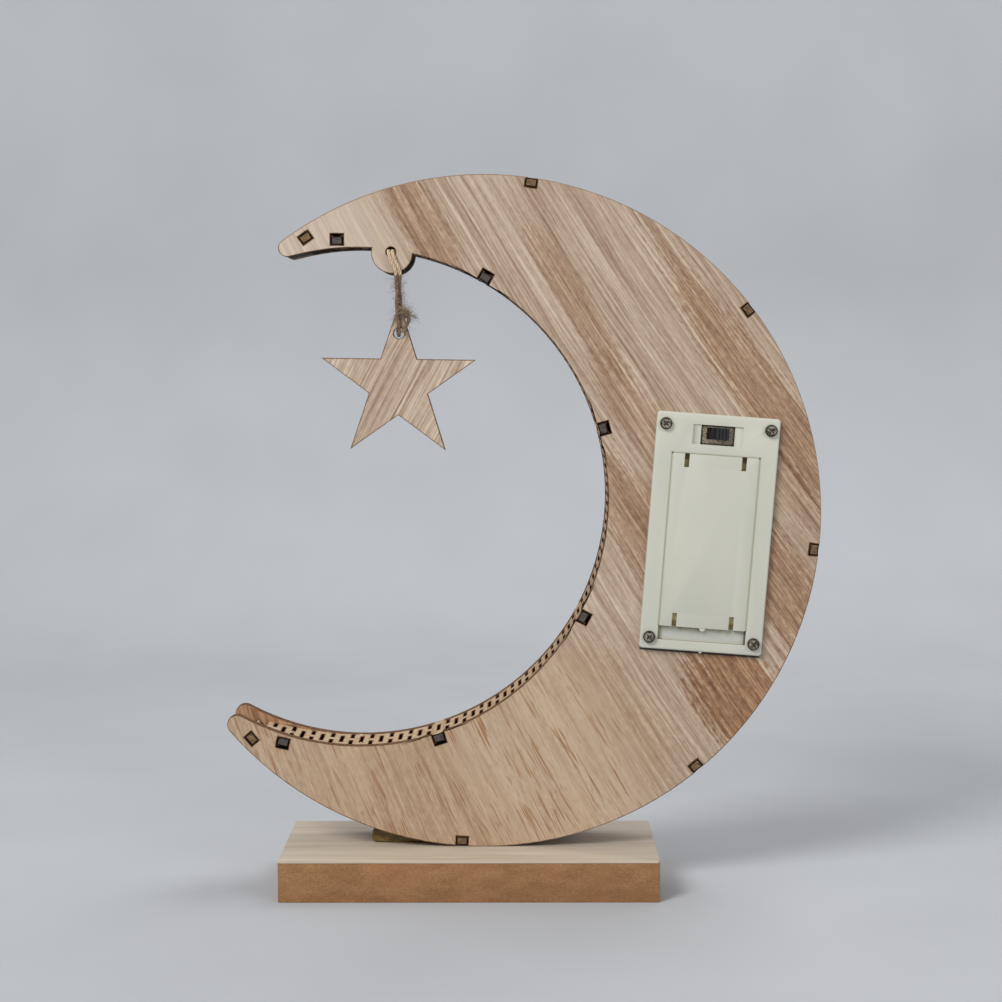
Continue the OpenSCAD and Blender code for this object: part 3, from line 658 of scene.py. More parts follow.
TAB_STEP = 43.9
OUTER_TAB = 81.7
INNER_TAB = 59.9
END_SPAN = 18.45
outer_mid = OUTER_R - 0.2 - PLY / 2
inner_mid = INNER_R + 0.1 + PLY / 2
outer_skin = strip_skin(
    CENTRE, outer_mid, 0.93 * outer_mid, OUTER_TAB, OUTER_TAB - 4 * TAB_STEP
)
inner_skin = strip_skin(
    INNER_CENTRE, inner_mid, 1.4 * inner_mid, INNER_TAB + END_SPAN,
    INNER_TAB - 3 * TAB_STEP - END_SPAN,
)
for name, node, is_skin, face, end in (
    ("outer_strip", "outer_edge_band", outer_skin, strip_face, brown_end),
    ("inner_strip", "inner_edge_band", inner_skin, shaded_face, grey_end),
):
    strip = scorched_copy(node, is_skin)
    blacken_tabs(strip)
    finish_piece(name, strip, [face, halo, char, end, soot], "ornament", [node])

# %% [markdown]
# The foot is a block of fibreboard with a thin pale veneer on top. Fibreboard has no grain, only
# matted fibres, so it is mottled finely, a little redder in places, with a few pale specks. The
# veneer's grain runs along the foot. Both are boxes with worn edges, and a plane cuts the
# veneer's front right corner off at a slant, as if it had chipped.

# %% Foot
HALF_W = 67
HALF_D = 29
BLOCK_TOP = 14
FOOT_TOP = 14.6


def fibreboard():
    finish = Finish("fibreboard", Roughness=0.85)
    mats = finish.lumps(0.12, 0.12, 0.3, 3.0, 0.6)
    hairs = finish.lumps(1.0, 1.0, 1.8, 4.0, 0.75)
    colour = finish.ramp(
        mats * 0.35 + hairs * 0.65,
        (0.36, 125, 86, 52), (0.50, 148, 106, 67), (0.64, 170, 128, 87),
    )
    rosy = finish.lumps(0.06, 0.06, 0.12).rise(0.48, 0.66)
    colour = colour.over(rosy * 0.3, 154, 102, 66)
    specks = finish.lumps(1.1, 1.1, 1.3, 0.0).rise(0.76, 0.84)
    colour = colour.over(specks * 0.4, 190, 156, 122)
    return finish.paint(colour, None, hairs, 0.12)


def pale_veneer():
    finish = Finish("pale_veneer", Roughness=0.6)
    sway = finish.cloud(finish.x / 60, finish.y / 25, 4.0) * 8
    lines = finish.cloud(finish.x * 0.012, (finish.y + sway) * 0.30, finish.z, 3.0, 0.6)
    threads = finish.cloud(finish.x * 0.05, (finish.y + sway) * 1.6, finish.z, 2.0)
    shade = (lines * 0.65 + threads * 0.35 - 0.5) * 1.25 + 0.56
    colour = finish.ramp(
        shade, (0.15, 164, 145, 121), (0.45, 186, 171, 150), (0.75, 204, 191, 173)
    )
    colour = colour.over(finish.x.rise(0, HALF_W) * 0.35, 216, 199, 182)
    return finish.paint(colour, None, threads, 0.04)


def box(low, high, bevel, segments=2):
    """A box between two corners in mm, with rounded edges."""
    shape = bmesh.new()
    bmesh.ops.create_cube(shape, size=1)
    low, high = Vector(low) * MM, Vector(high) * MM
    bmesh.ops.scale(shape, vec=high - low, verts=shape.verts)
    bmesh.ops.translate(shape, vec=(low + high) / 2, verts=shape.verts)
    bmesh.ops.bevel(
        shape, geom=shape.edges[:], offset=bevel * MM, segments=segments, profile=0.5,
        affect="EDGES", material=-1,
    )
    return shape


block = box((-HALF_W, -HALF_D, 0), (HALF_W, HALF_D, BLOCK_TOP), 0.35)
finish_piece("foot_block", block, [fibreboard()], "ornament", ["base_block"])
sheet = box((-HALF_W, -HALF_D, BLOCK_TOP), (HALF_W, HALF_D, FOOT_TOP), 0.12)
bmesh.ops.bisect_plane(
    sheet, geom=sheet.verts[:] + sheet.edges[:] + sheet.faces[:], dist=1e-6,
    plane_co=Vector((HALF_W - 0.8, -HALF_D, BLOCK_TOP)) * MM, plane_no=Vector((1, -0.55, 0.2)),
    clear_outer=True,
)
bmesh.ops.holes_fill(sheet, edges=sheet.edges[:], sides=0)
finish_piece("foot_veneer", sheet, [pale_veneer()], "ornament", ["base_veneer"])

# %% [markdown]
# The twine is jute: three yarns twisted round each other, with loose hairs all along. A route is
# a smooth curve through a few points, walked in small steps. A sideways direction is carried
# along it without twisting, because a direction that is worked out anew at each step would flip
# in the bends.

# %% Twine's route
def smooth_route(points, step=0.25):
    """Points in mm, every step along a smooth curve through the given ones."""
    points = [Vector(p) for p in points]
    ends = [points[0] * 2 - points[1], *points, points[-1] * 2 - points[-2]]
    route = []
    for a, b, c, d in zip(ends, ends[1:], ends[2:], ends[3:]):
        count = max(1, round((c - b).length / step))
        for i in range(count):
            t = i / count
            route.append(
                0.5 * (2 * b + (c - a) * t + (2 * a - 5 * b + 4 * c - d) * t * t
                       + (3 * b - a - 3 * c + d) * t ** 3)
            )
    route.append(points[-1])
    return route


def carried_sides(route):
    """Two directions across the route at each point, carried along it without twisting."""
    side = Vector((1, 0, 0))
    sides = []
    for i, _ in enumerate(route):
        ahead = (route[min(i + 1, len(route) - 1)] - route[max(i - 1, 0)]).normalized()
        side = (side - ahead * side.dot(ahead)).normalized()
        sides.append((side, ahead.cross(side)))
    return sides


print("A route of 5 mm has", len(smooth_route([(0, 0, 0), (0, 0, 5)])), "points")

# %% [markdown]
# The three yarns are spirals round the route. They are made as curves with a round bevel, which
# gives tubes of even thickness, and then become meshes. A texture of slanted stripes on one tube
# would be lighter, but its outline would be smooth.

# %% Yarns
def tube_mesh(lines, radius, rings=3):
    """One mesh of round tubes along several lines, in mm."""
    curve = bpy.data.curves.new("tubes", "CURVE")
    curve.dimensions = "3D"
    curve.bevel_depth = radius * MM
    curve.bevel_resolution = rings
    curve.use_fill_caps = True
    for line in lines:
        spline = curve.splines.new("POLY")
        spline.points.add(len(line) - 1)
        for point, place in zip(spline.points, line):
            point.co = (*(Vector(place) * MM), 1)
    holder = put("tubes", curve)
    bpy.context.view_layer.update()
    evaluated = holder.evaluated_get(bpy.context.evaluated_depsgraph_get())
    mesh = bpy.data.meshes.new_from_object(evaluated)
    bpy.data.objects.remove(holder)
    bpy.data.curves.remove(curve)
    shape = bmesh.new()
    shape.from_mesh(mesh)
    bpy.data.meshes.remove(mesh)
    return shape


def merge_into(shape, added):
    """Adds a second mesh to the first and frees it."""
    mesh = bpy.data.meshes.new("added")
    added.to_mesh(mesh)
    added.free()
    shape.from_mesh(mesh)
    bpy.data.meshes.remove(mesh)


def yarns(route, diameter, lay=4.2):
    """A twine's three yarns as spirals round its route, and their radius. lay is a turn in mm."""
    radius = diameter / 2
    yarn = radius / 2
    offset = radius - yarn
    sides = carried_sides(route)
    lines = []
    for k in range(3):
        line = []
        walked = 0
        for i, place in enumerate(route):
            if i:
                walked += (place - route[i - 1]).length
            angle = 2 * math.pi * (walked / lay + k / 3)
            a, b = sides[i]
            line.append(place + (a * math.cos(angle) + b * math.sin(angle)) * offset)
        lines.append(line)
    return lines, yarn


def jute(name, light, middle, dark):
    finish = Finish(name, Roughness=0.92, Specular_IOR_Level=0.2)
    fibre = finish.lumps(5, 5, 1.6, 3.0, 0.7)
    blotch = finish.lumps(0.5, 0.5, 0.5)
    mixed = fibre * 0.7 + blotch * 0.3
    colour = finish.ramp(mixed, (0.32, *dark), (0.50, *middle), (0.70, *light))
    return finish.paint(colour, None, fibre, 0.10)


# One jute in two tones: the strands over the lobe are painted lighter as painted light, and the
# hanging twine darker as painted shade.
lit_jute = jute("lit_jute", (232, 214, 186), (208, 184, 154), (160, 134, 104))
shaded_jute = jute("shaded_jute", (172, 144, 118), (130, 104, 84), (84, 62, 48))
knot_jute = jute("knot_jute", (184, 168, 140), (138, 117, 92), (86, 68, 50))
stray_jute = jute("stray_jute", (170, 158, 140), (140, 126, 108), (106, 90, 72))
TWINE = 1.4
hole = CENTRE + Vector((-32.35, 93.0))
hang = Vector((hole.x + 2.56, BACK_Y - 1.0, hole.y))
print("The twine hangs at", [round(v, 2) for v in hang])

# %% [markdown]
# Two strands come out of the lobe's hole and over its face. A stopper knot behind the lobe holds
# them: three rings turned against each other, which is all that can be told of a knot this small.
# They stay with the crescent, so they are a piece of their own.

# %% Strands over the lobe
HITCH = [
    (-2.6, 5.8, 0.3), (-2.6, 2.9, 0.3), (-2.6, 1.2, 0.2), (-2.5, 0.3, -0.5), (-2.2, 0, -1.7),
    (-1.6, 0, -3.4), (-0.7, 0, -5.3), (-0.2, 0, -6.6), (0, 0, -7.5), (0, 0, -8.3),
]
hitch_lines = []
for side in (-1, 1):
    route = smooth_route([hang + Vector((side * TWINE / 2 + x, y, z)) for x, y, z in HITCH])
    lines, yarn = yarns(route, TWINE)
    hitch_lines += lines
hitch = tube_mesh(hitch_lines, yarn)
RING_R = 1.75
RING_SWAY = 0.35
knot_middle = Vector((hole.x, HOLLOW_BACK + 0.05 + 2.6, hole.y - 1.75))
turns = [2 * math.pi * i / 40 for i in range(41)]
for k in range(3):
    tilt = Matrix.Rotation(math.radians(60 * k + 20), 3, "X")
    ring = [
        knot_middle + tilt @ Vector(
            (RING_R * math.cos(a), RING_R * math.sin(a), RING_SWAY * math.sin(2 * a))
        )
        for a in turns
    ]
    merge_into(hitch, tube_mesh([ring], 0.72))
finish_piece("twine_over_lobe", hitch, [lit_jute], "ornament", ["twine_hitch"], 60)

# %% [markdown]
# Under the lobe the strands turn round each other by a quarter turn, so that one hangs in front,
# then spread and meet in the star's hole. The hanging part is one piece of twine about 46 mm long
# that goes down, through the star and up again. TWIST holds a depth, an angle in degrees and half
# the strands' distance. LOOP holds a share of the spread, a drop in shares of the star's size and a
# place to the side.

# %% Hanging twine
STAR_R = 28.6
LOOP_TOP = -14.2
LOOP = [
    (0, 0, 0.25), (0.13, 0.028, 0.35), (0.56, 0.074, 0.45), (0.94, 0.116, 0.5), (1, 0.168, 0.5),
    (1, 0.266, 0.25), (1, 0.364, 0), (1, 0.427, -0.2), (0.8, 0.479, -0.3), (0.15, 0.514, -0.1),
]
STRAND_GAP = 0.8
SPREAD = PLY / 2 + TWINE / 2 + 0.3 - STRAND_GAP
TWIST = [
    (-8.3, 0, 0.7), (-9.1, -24, 0.62), (-10.0, -36, 0.58), (-11.0, -42, 0.58), (-12.0, -48, 0.6),
    (-13.0, -58, 0.66), (-13.7, -68, 0.76),
]


def twist_side(side):
    """One strand's places from the lobe down to the loop's start, in mm from hang."""
    return [
        (side * r * math.cos(math.radians(a)), -side * r * math.sin(math.radians(a)), z)
        for z, a, r in TWIST
    ]


def loop_side(side):
    """One half of the loop, on the star's back or on its front."""
    return [
        (0.15 + side * x, side * (STRAND_GAP + share * SPREAD), LOOP_TOP - drop * STAR_R)
        for share, drop, x in LOOP
    ]


down = twist_side(1) + loop_side(1)
back_up = loop_side(-1)[::-1] + twist_side(-1)[::-1]
hairpin = down + [(0.15, 0, LOOP_TOP - 0.524 * STAR_R)] + back_up
hanging_route = smooth_route([hang + Vector(p) for p in hairpin])
hanging_length = sum((b - a).length for a, b in zip(hanging_route, hanging_route[1:]))
lines, yarn = yarns(hanging_route, TWINE)
twine_shape = tube_mesh(lines, yarn)
hanging_twine = finish_piece(
    "hanging_twine", twine_shape, [shaded_jute], None,
    ["twine_upper", "twine_lower", "twine_loop"], 60,
)
hanging_route[0] * MM
[p * MM for p in hanging_route]
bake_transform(hanging_twine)
print("Hanging twine is", round(hanging_length, 1), "mm long")

# %% [markdown]
# The loop is closed by a small overhand knot beside the star's point. One of its ends makes a
# bow down to the star's hole, and two short ends fray. The knot's route is a knotted curve from
# three sine waves, which is shorter than a list of points and closes by itself.

# %% Knot
knot_at = hang + Vector((2.6, -2.7, -21.6))


def knot_point(a):
    """A place on the knotted curve, for an angle in radians."""
    return knot_at + Vector((
        0.45 * math.sin(a) + 0.60 * math.sin(2 * a),
        0.45 * math.sin(3 * a),
        0.55 * (math.cos(a) - 1.2 * math.cos(2 * a)),
    ))


knot_route = [knot_point(2 * math.pi * i / 60) for i in range(61)]
BOW = [
    (-0.4, -2.0, -19.6), (1.0, -2.6, -19.7), (2.4, -2.8, -20.7), (3.5, -2.8, -22.0),
    (3.9, -2.7, -23.6), (3.4, -2.6, -25.2), (2.6, -2.5, -26.8), (1.7, -2.2, -28.4),
]
bow_route = smooth_route([hang + Vector(p) for p in BOW])
RIGHT_END = [(0.4, 0, -0.2), (1.6, -0.2, -0.6), (2.5, 0.1, -0.9)]
LEFT_END = [(-0.8, 0, 0.3), (-1.6, -0.3, 0.2), (-2.2, -0.2, -0.2)]
ends = [smooth_route([knot_at + Vector(p) for p in end]) for end in (RIGHT_END, LEFT_END)]
bow_lines, _ = yarns(bow_route, 1.5, 3.4)
knot_lines, knot_yarn = yarns(knot_route, 1.15, 2.4)
knot_shape = tube_mesh(knot_lines + bow_lines + ends, knot_yarn)
finish_piece(
    "twine_knot_tied", knot_shape, [knot_jute], "hanging_star", ["twine_knot"], 60
)

# %% [markdown]
# About six hundred loose hairs stand off the twine, most of them round the knot and its bow. A
# hair is a line of seven points that wanders as it grows, as a tube less than 0.06 mm thick.
# Blender's own hair would look as fine, but it doesn't export. A fixed seed makes every run alike.
# Hairs ride on two bodies, those near the star on the star's and those higher up on the twine's
# tilt, so they are two pieces.

# %% Loose hairs
random.seed(7)
HAIR_R = 0.028
HAIR_STEPS = 6


def hair(root, direction, length):
    """One loose hair as a line that starts in a direction and wanders off it."""
    line = [Vector(root)]
    heading = direction.normalized()
    for _ in range(HAIR_STEPS):
        wobble = Vector((random.gauss(0, 1), random.gauss(0, 1), random.gauss(0, 1)))
        heading = (heading + wobble * 0.28).normalized()
        line.append(line[-1] + heading * length / HAIR_STEPS)
    return line


def hairs_along(route, count, reach):
    """Hairs of up to reach mm that start on the twine's surface and lean along it."""
    sides = carried_sides(route)
    hairs = []
    for _ in range(count):
        i = random.randrange(1, len(route) - 1)
        a, b = sides[i]
        angle = random.uniform(0, 2 * math.pi)
        out = a * math.cos(angle) + b * math.sin(angle)
        ahead = (route[i + 1] - route[i - 1]).normalized() * random.uniform(-1.2, 1.2)
        hairs.append(hair(route[i] + out * 0.55, out * 0.5 + ahead, random.uniform(0.4, 1) * reach))
    return hairs


BODY_CHANGE = hang.z - 14.5
low_part = [p for p in hanging_route if p.z < BODY_CHANGE]
front_part = low_part[: len(low_part) // 2]
star_hairs = hairs_along(front_part, 120, 4.5) + hairs_along(knot_route, 150, 4.0)
star_hairs += hairs_along(bow_route, 150, 5.0)
for end in ends:
    tuft = [hair(end[-1], end[-1] - end[-3], random.uniform(1.0, 4.0)) for _ in range(26)]
    star_hairs += tuft
high_part = [p for p in hanging_route if p.z >= BODY_CHANGE][: len(hanging_route) // 3]
tilt_hairs = hairs_along(high_part, 150, 5.0)
for name, hairs, body in (
    ("star_hairs", star_hairs, "hanging_star"), ("twine_hairs", tilt_hairs, "twine_tilt"),
):
    finish_piece(name, tube_mesh(hairs, HAIR_R, 0), [stray_jute], body)

# %% [markdown]
# The case, its lid and the screws keep their CAD shapes, because those are measured, but a
# moulding never has knife edges. A copy of each gets its outline edges rounded: the case's outer
# rim by more than half a millimetre, and the lid and the openings by much less. Edges are picked
# by their place in the case's own frame, which leans with the case.

# %% Case frame
CASE_FACE = -2.4
LID_FACE = -2.25
HEAD_FACE = -3.8
LID_HALF = 15.45
LID_TOP = 27.9
SCREW_X = 18.6
SCREW_Z = 38.1
to_case = Matrix.Translation(CASE * MM) @ Matrix.Rotation(CASE_LEAN, 4, "Y")
from_case = to_case.inverted()


def case_place(vertex):
    """The place of a vertex in the case's own frame, in mm."""
    return (from_case @ vertex.co) / MM


def on_plane(edge, y, test):
    """True for an edge at a depth y of the case whose ends pass a test."""
    places = [case_place(v) for v in edge.verts]
    return all(abs(p.y - y) < 0.02 for p in places) and all(test(p) for p in places)


def outer_rim(edge):
    return on_plane(edge, CASE_FACE, lambda p: abs(p.x) > 20 or abs(p.z) > 40.6)


def inner_rims(edge):
    return on_plane(edge, CASE_FACE, lambda p: abs(p.x) < 17.5 and abs(p.z) < 40)


def lid_rim(edge):
    return on_plane(edge, LID_FACE, lambda p: True)


def head_rim(edge):
    return on_plane(
        edge, HEAD_FACE, lambda p: math.hypot(abs(p.x) - SCREW_X, abs(p.z) - SCREW_Z) > 2.0
    )


print("The case's middle is at", [round(v, 2) for v in CASE])

# %% [markdown]
# Flat faces are joined before the bevel, because a bevel can't run along an edge that stray
# triangles break up. The lid grows a little first: on the real case the gap round it is so thin
# that it shows as a shallow groove.

# %% Rounding
def snug(shape, by=0.18):
    """Moves the lid's sides and top outwards."""
    for vertex in shape.verts:
        place = case_place(vertex)
        if abs(abs(place.x) - LID_HALF) < 0.01 and place.y < -0.7:
            place.x += math.copysign(by, place.x)
        if abs(place.z - LID_TOP) < 0.01:
            place.z += by
        vertex.co = to_case @ (place * MM)


def rounded_copy(node, groups, adjust=None):
    """A joined copy whose sharp edges are rounded. groups hold a test, a width and segments."""
    shape = joined_copy(node)
    if adjust:
        adjust(shape)
    bmesh.ops.dissolve_limit(
        shape, angle_limit=math.radians(1), use_dissolve_boundaries=False,
        verts=shape.verts, edges=shape.edges,
    )
    for is_picked, width, segments in groups:
        picked = [
            e for e in shape.edges
            if len(e.link_faces) == 2 and e.calc_face_angle(0) > math.radians(35) and is_picked(e)
        ]
        bmesh.ops.bevel(
            shape, geom=picked, offset=width * MM, segments=segments, profile=0.5,
            affect="EDGES", material=-1, clamp_overlap=True,
        )
        print(node, "has", len(picked), "edges rounded by", width, "mm")
    return shape


# %% [markdown]
# The case is ivory ABS with a silky moulded skin and faint flow marks along it, brighter at its
# upper end. Deeper than its face the plastic is painted yellower, as painted shade in the recesses,
# and brown at both ends of the hollow, as painted shade in its deep ends. The floor under the lid's
# foot gets painted shade, darkest next to the lid and the left wall, and the opening's right wall
# is painted dark as painted shade. An olive line of painted shade runs along the groove round the
# lid. Each of these places is a product of masks in the case's own two directions, across and
# upward.

# %% Ivory plastic
def ivory_plastic():
    finish = Finish("ivory_plastic", Specular_IOR_Level=0.45)
    flow = finish.lumps(0.05, 0.3, 0.02, 3.0)
    colour = finish.ramp(
        flow, (0.30, 194, 193, 179), (0.55, 199, 198, 184), (0.75, 203, 201, 184)
    )
    across, upward = case_axes(finish)
    colour = colour.over(upward.rise(24, 36) * 0.6, 209, 207, 191)
    inside = abs(across).rise(19.5, 18.5) * abs(upward).rise(39.3, 38.8)
    # Painted shade: faces deeper than the case's face turn olive, and the deep ends of the hollow
    # brown.
    sunk = (finish.y + 10.5).rise(0.0, 0.6) * inside * upward.rise(30.5, 30.0)
    colour = colour.over(sunk * 0.85, 194, 184, 118)
    far_end = upward.rise(25.2, 26.2) + upward.rise(-31.0, -32.3) * 0.8
    colour = colour.over(sunk * far_end * 0.85, 122, 84, 40)
    # Painted shade on the floor under the lid, darkest next to the lid and along the left wall.
    floor = (finish.y + 9.14).rise(-0.04, 0.0) * inside * upward.rise(-33.5, -34.0)
    floor_shade = finish.cloud(across * 0.35, upward * 0.3, 2.0, 2.0).rise(0.45, 0.62)
    floor_shade = (floor_shade * 0.5 + 0.4) * upward.rise(-37.2, -34.2) + across.rise(-13.6, -15.4)
    shaded_floor = finish.mix(floor_shade * 0.85, tone(192, 193, 184), tone(142, 138, 94))
    colour = finish.mix(floor, colour, shaded_floor)
    # Painted shade on the right wall of the opening.
    end_wall = across.rise(14.9, 15.3) * inside * upward.rise(-33.5, -34.0)
    colour = colour.over(end_wall * (finish.y + 10.7).rise(0, 0.2) * 0.8, 88, 68, 54)
    # Painted shade: an olive line along the groove round the lid.
    beside_lid = abs(across).near(LID_HALF + 0.1, 0.7, 0.1)
    beside_lid = beside_lid * upward.rise(-34.0, -33.6) * upward.rise(28.7, 28.2)
    over_lid = upward.near(LID_TOP + 0.25, 0.6, 0.1) * abs(across).rise(16.2, 15.7)
    colour = colour.over((beside_lid + over_lid * 0.7) * 0.55, 152, 150, 118)
    return finish.paint(colour, flow * 0.16 + 0.36, finish.lumps(7, 7, 7), 0.012)


ivory = ivory_plastic()
print("Ivory plastic has", len(ivory.tree.nodes), "nodes")

# %% [markdown]
# The screws and the switch's shell are plated steel, dulled and blotched. A screw's head is darker
# towards its rim, its recess is painted dark as painted shade, and so is the shell's border, as
# painted shade of the gap round it. The knob is black plastic, and the switch stands on brown
# laminate. These two need only soft blotches of two tones, and so do a few more pieces, so one
# helper makes them all.

# %% Steel and small plastics
def blotched(name, dark, light, scale, rough=None, detail=2.0, **constants):
    """Two tones in soft blotches. scale is how many there are to a mm along x, y and z, and rough
    holds how much the roughness varies and its lowest value."""
    finish = Finish(name, **constants)
    blotch = finish.lumps(*scale, detail)
    colour = finish.ramp(blotch, (0.3, *dark), (0.7, *light))
    return finish.paint(colour, blotch * rough[0] + rough[1] if rough else None)


def screw_metal():
    finish = Finish("screw_metal", Metallic=0.8)
    across, upward = case_axes(finish)
    u = abs(across) - SCREW_X
    v = abs(upward) - SCREW_Z
    radius = (u * u + v * v).math("SQRT")
    blotch = finish.lumps(1.1, 1.1, 1.1, 3.0, 0.6)
    colour = finish.ramp(blotch, (0.40, 84, 74, 66), (0.60, 188, 178, 164))
    colour = colour.over(radius.rise(1.2, 2.0), 54, 46, 40)
    # Painted shade in the cross recess.
    recess = (finish.y + 12.15).rise(0.0, 0.15) * radius.rise(1.5, 1.3)
    colour = colour.over(recess * 0.7, 48, 42, 38)
    return finish.paint(colour, blotch * 0.3 + 0.25, blotch, 0.03)


def switch_metal():
    finish = Finish("switch_metal", Metallic=0.6)
    across, upward = case_axes(finish)
    blotch = finish.lumps(1.6, 1.6, 1.6, 3.0, 0.6)
    colour = finish.ramp(blotch, (0.35, 92, 82, 68), (0.62, 168, 156, 134))
    # Painted shade of the gap along the shell's border.
    border = abs(across).rise(5.0, 5.6) + abs(upward - 35).rise(2.6, 3.2)
    colour = colour.over(border * 0.8, 46, 36, 28)
    return finish.paint(colour, blotch * 0.3 + 0.3, blotch, 0.03)


knob_black = blotched("black_plastic", (14, 14, 16), (32, 33, 38), (2, 2, 2), (0.2, 0.4))
laminate = blotched("brown_laminate", (36, 25, 18), (66, 46, 30), (1, 3, 1), Roughness=0.7)
print("The knob's finish has", len(knob_black.tree.nodes), "nodes")

# %% [markdown]
# Now the moulded pieces are made. In each of its two lower windows the case gets a small ledge,
# which shows as a lit floor.

# %% Case, lid and screws
LEDGE_X = 10.15
case_shape = rounded_copy("battery_case", [(outer_rim, 0.7, 4), (inner_rims, 0.2, 2)])
for middle in (-LEDGE_X, LEDGE_X):
    ledge = box((middle - 1.4, -0.62, -33.6), (middle + 1.4, 0.5, -28.6), 0.1, 1)
    ledge.transform(to_case)
    merge_into(case_shape, ledge)
finish_piece("case_moulding", case_shape, [ivory], "ornament", ["battery_case"])
lid_shape = rounded_copy("battery_lid", [(lid_rim, 0.26, 2)], snug)
finish_piece("lid_moulding", lid_shape, [ivory], "lid", ["battery_lid"])
screw_shape = rounded_copy("case_screws", [(head_rim, 0.45, 4)])
finish_piece("screws", screw_shape, [screw_metal()], "ornament", ["case_screws"])

# %% [markdown]
# What is hidden inside still gets its own finish, because the lid slides and the lamps show from
# the front. A cell's wrapper stops short of its bare ends. These solids keep their CAD shapes, so
# only their material is changed.

# %% Cells, lamps and switch
def cell_wrapper(name, low, high):
    """low and high are the wrapper's ends, in mm up from the case's middle."""
    finish = Finish(name)
    _, upward = case_axes(finish)
    scuff = finish.lumps(0.6, 0.6, 0.6, 3.0)
    wrap = upward.rise(low, low + 0.2) * upward.rise(high, high - 0.2)
    label = finish.ramp(scuff, (0.3, 34, 66, 46), (0.7, 48, 86, 60))
    return finish.paint(finish.mix(wrap, tone(190, 188, 182), label), scuff * 0.2 + 0.25)


def plated_steel():
    finish = Finish("plate_steel", Metallic=1.0)
    blotch = finish.lumps(1.1, 1.1, 1.1, 3.0, 0.6)
    scratch = finish.lumps(0.8, 1, 7)
    colour = finish.ramp(blotch, (0.32, 150, 145, 134), (0.66, 206, 201, 190))
    return finish.paint(colour, blotch * 0.25 + 0.18, scratch, 0.008)


resin = blotched(
    "lamp_resin", (236, 226, 196), (250, 244, 224), (0.8, 0.8, 0.8), Roughness=0.12,
    Transmission_Weight=0.35, IOR=1.5,
)
copper = blotched(
    "bare_copper", (140, 86, 58), (196, 128, 92), (0.3, 1, 0.3), (0.3, 0.2), 3.0, Metallic=1.0
)
steel = plated_steel()
for node, finish in (
    ("cell_left", cell_wrapper("left_wrapper", -24.0, 23.6)),
    ("cell_right", cell_wrapper("right_wrapper", -29.0, 18.6)),
    ("lamp_bulbs", resin), ("lamp_wiring", copper),
    ("end_contacts", steel), ("bridge_contact", steel), ("contact_springs", steel),
    ("switch_shell", switch_metal()), ("switch_base", laminate), ("switch_knob", knob_black),
):
    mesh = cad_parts[node].data
    mesh.materials.clear()
    mesh.materials.append(finish.material)
    print(node, "wears", finish.material.name)

# %% [markdown]
# Hot glue holds the crescent to the foot. It squeezed out into the wedge on the left, where it
# set as a glossy amber lump. A copy of the CAD wedge gets its left end rounded, is cut finer and
# softened, is made a quarter narrower and gets small waves from a noise.

# %% Glue
GLUE_LEFT = -34.5
GLUE_MIDDLE = 4.5
glue = blotched(
    "hot_glue", (92, 68, 24), (142, 116, 60), (0.25, 0.4, 0.6), (0.2, 0.15),
    Transmission_Weight=0.25, IOR=1.48,
)
glue_shape = joined_copy("glue_bead")
left_edges = [e for e in glue_shape.edges if all(v.co.x < GLUE_LEFT * MM for v in e.verts)]
bmesh.ops.bevel(
    glue_shape, geom=left_edges, offset=1.6 * MM, segments=4, profile=0.5, affect="EDGES",
    material=-1, clamp_overlap=True,
)
bmesh.ops.triangulate(glue_shape, faces=glue_shape.faces)
for _ in range(4):
    long_edges = [e for e in glue_shape.edges if e.calc_length() > 1.2 * MM]
    bmesh.ops.subdivide_edges(glue_shape, edges=long_edges, cuts=1)
    bmesh.ops.triangulate(glue_shape, faces=glue_shape.faces)
for _ in range(5):
    bmesh.ops.smooth_vert(
        glue_shape, verts=glue_shape.verts, factor=0.5, use_axis_x=True, use_axis_y=True,
        use_axis_z=True,
    )
glue_shape.normal_update()
for vertex in glue_shape.verts:
    vertex.co.y = GLUE_MIDDLE * MM + (vertex.co.y - GLUE_MIDDLE * MM) * 0.76
    swell = noise.noise(vertex.co / MM * 0.3) * 0.25
    vertex.co += vertex.normal * min(swell, 0.1) * MM
finish_piece("glue_lump", glue_shape, [glue], "ornament", ["glue_bead"], 60)

# %% [markdown]
# The stage is a pale sweep: a floor that turns up into a wall in one soft bend, so that no edge
# shows behind the ornament. It is wide, so that its ends stay out of side views. Its measures are
# in metres.

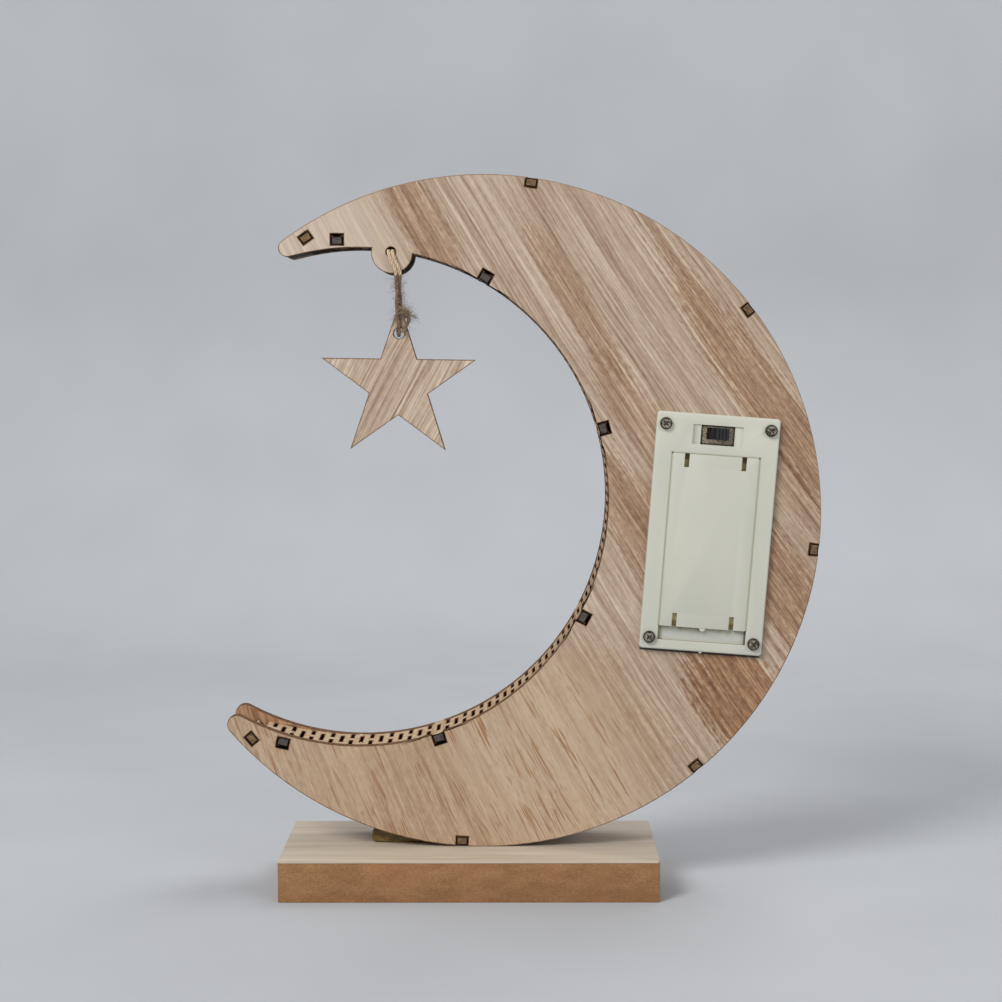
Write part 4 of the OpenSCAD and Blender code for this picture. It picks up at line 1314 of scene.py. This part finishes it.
# %% Stage
SWEEP_HALF = 1.6
SWEEP_WIDER = 2.5
SWEEP_FORWARD = 0.9
BEND = 0.25
sweep = bmesh.new()
bmesh.ops.create_grid(sweep, x_segments=1, y_segments=1, size=SWEEP_HALF)
bmesh.ops.scale(sweep, vec=(SWEEP_WIDER, 1, 1), verts=sweep.verts)
bmesh.ops.translate(sweep, vec=(0, -SWEEP_FORWARD, 0), verts=sweep.verts)
far_edge = [e for e in sweep.edges if all(v.co.y > 0 for v in e.verts)]
made = bmesh.ops.extrude_edge_only(sweep, edges=far_edge)
raised = [g for g in made["geom"] if isinstance(g, bmesh.types.BMVert)]
bmesh.ops.translate(sweep, vec=(0, 0, SWEEP_HALF), verts=raised)
bmesh.ops.bevel(
    sweep, geom=far_edge, offset=BEND, segments=16, profile=0.5, affect="EDGES", material=-1
)
sweep_mesh = bpy.data.meshes.new("stage_sweep")
sweep.to_mesh(sweep_mesh)
sweep.free()
pale = blotched(
    "pale_sweep", (180, 182, 185), (185, 187, 190), (1 / 90, 1 / 90, 1 / 90), Roughness=0.9
)
sweep_mesh.materials.append(pale.material)
sweep_mesh.shade_smooth()
stage_sweep = put("stage_sweep", sweep_mesh)
print("The sweep has", len(sweep_mesh.polygons), "faces")

# %% [markdown]
# A broad lamp at the upper left makes the soft shadow to the right of the case. A weaker one
# opens that shadow from the right, a third reaches the lamp side, and the world fills in the rest.
# The standard view keeps the tones as they were chosen, where the filmic one would grey them.

# %% Light
def soft_lamp(name, place, aim, size, power):
    """A round lamp at a place in metres that faces a point."""
    light = bpy.data.lights.new(name, "AREA")
    light.shape = "DISK"
    light.size = size
    light.energy = power
    facing = (Vector(aim) - Vector(place)).to_track_quat("-Z", "Y").to_matrix().to_4x4()
    put(name, light).matrix_world = Matrix.Translation(place) @ facing
    print(name, "gives", power, "W")


soft_lamp("key_lamp", (-0.9, -1.1, 1.25), (0, 0, 0.13), 0.7, 22)
soft_lamp("fill_lamp", (1.1, -1.2, 0.7), (0, 0, 0.12), 1.0, 5.6)
soft_lamp("rear_lamp", (0.5, 0.45, 1.1), (0, 0, 0.12), 0.7, 4.8)
world = bpy.data.worlds.new("soft_room")
world.use_nodes = True
background = world.node_tree.nodes["Background"]
background.inputs["Color"].default_value = (0.93, 0.96, 1.0, 1)
background.inputs["Strength"].default_value = 0.41
bpy.context.scene.world = world
bpy.context.scene.view_settings.view_transform = "Standard"
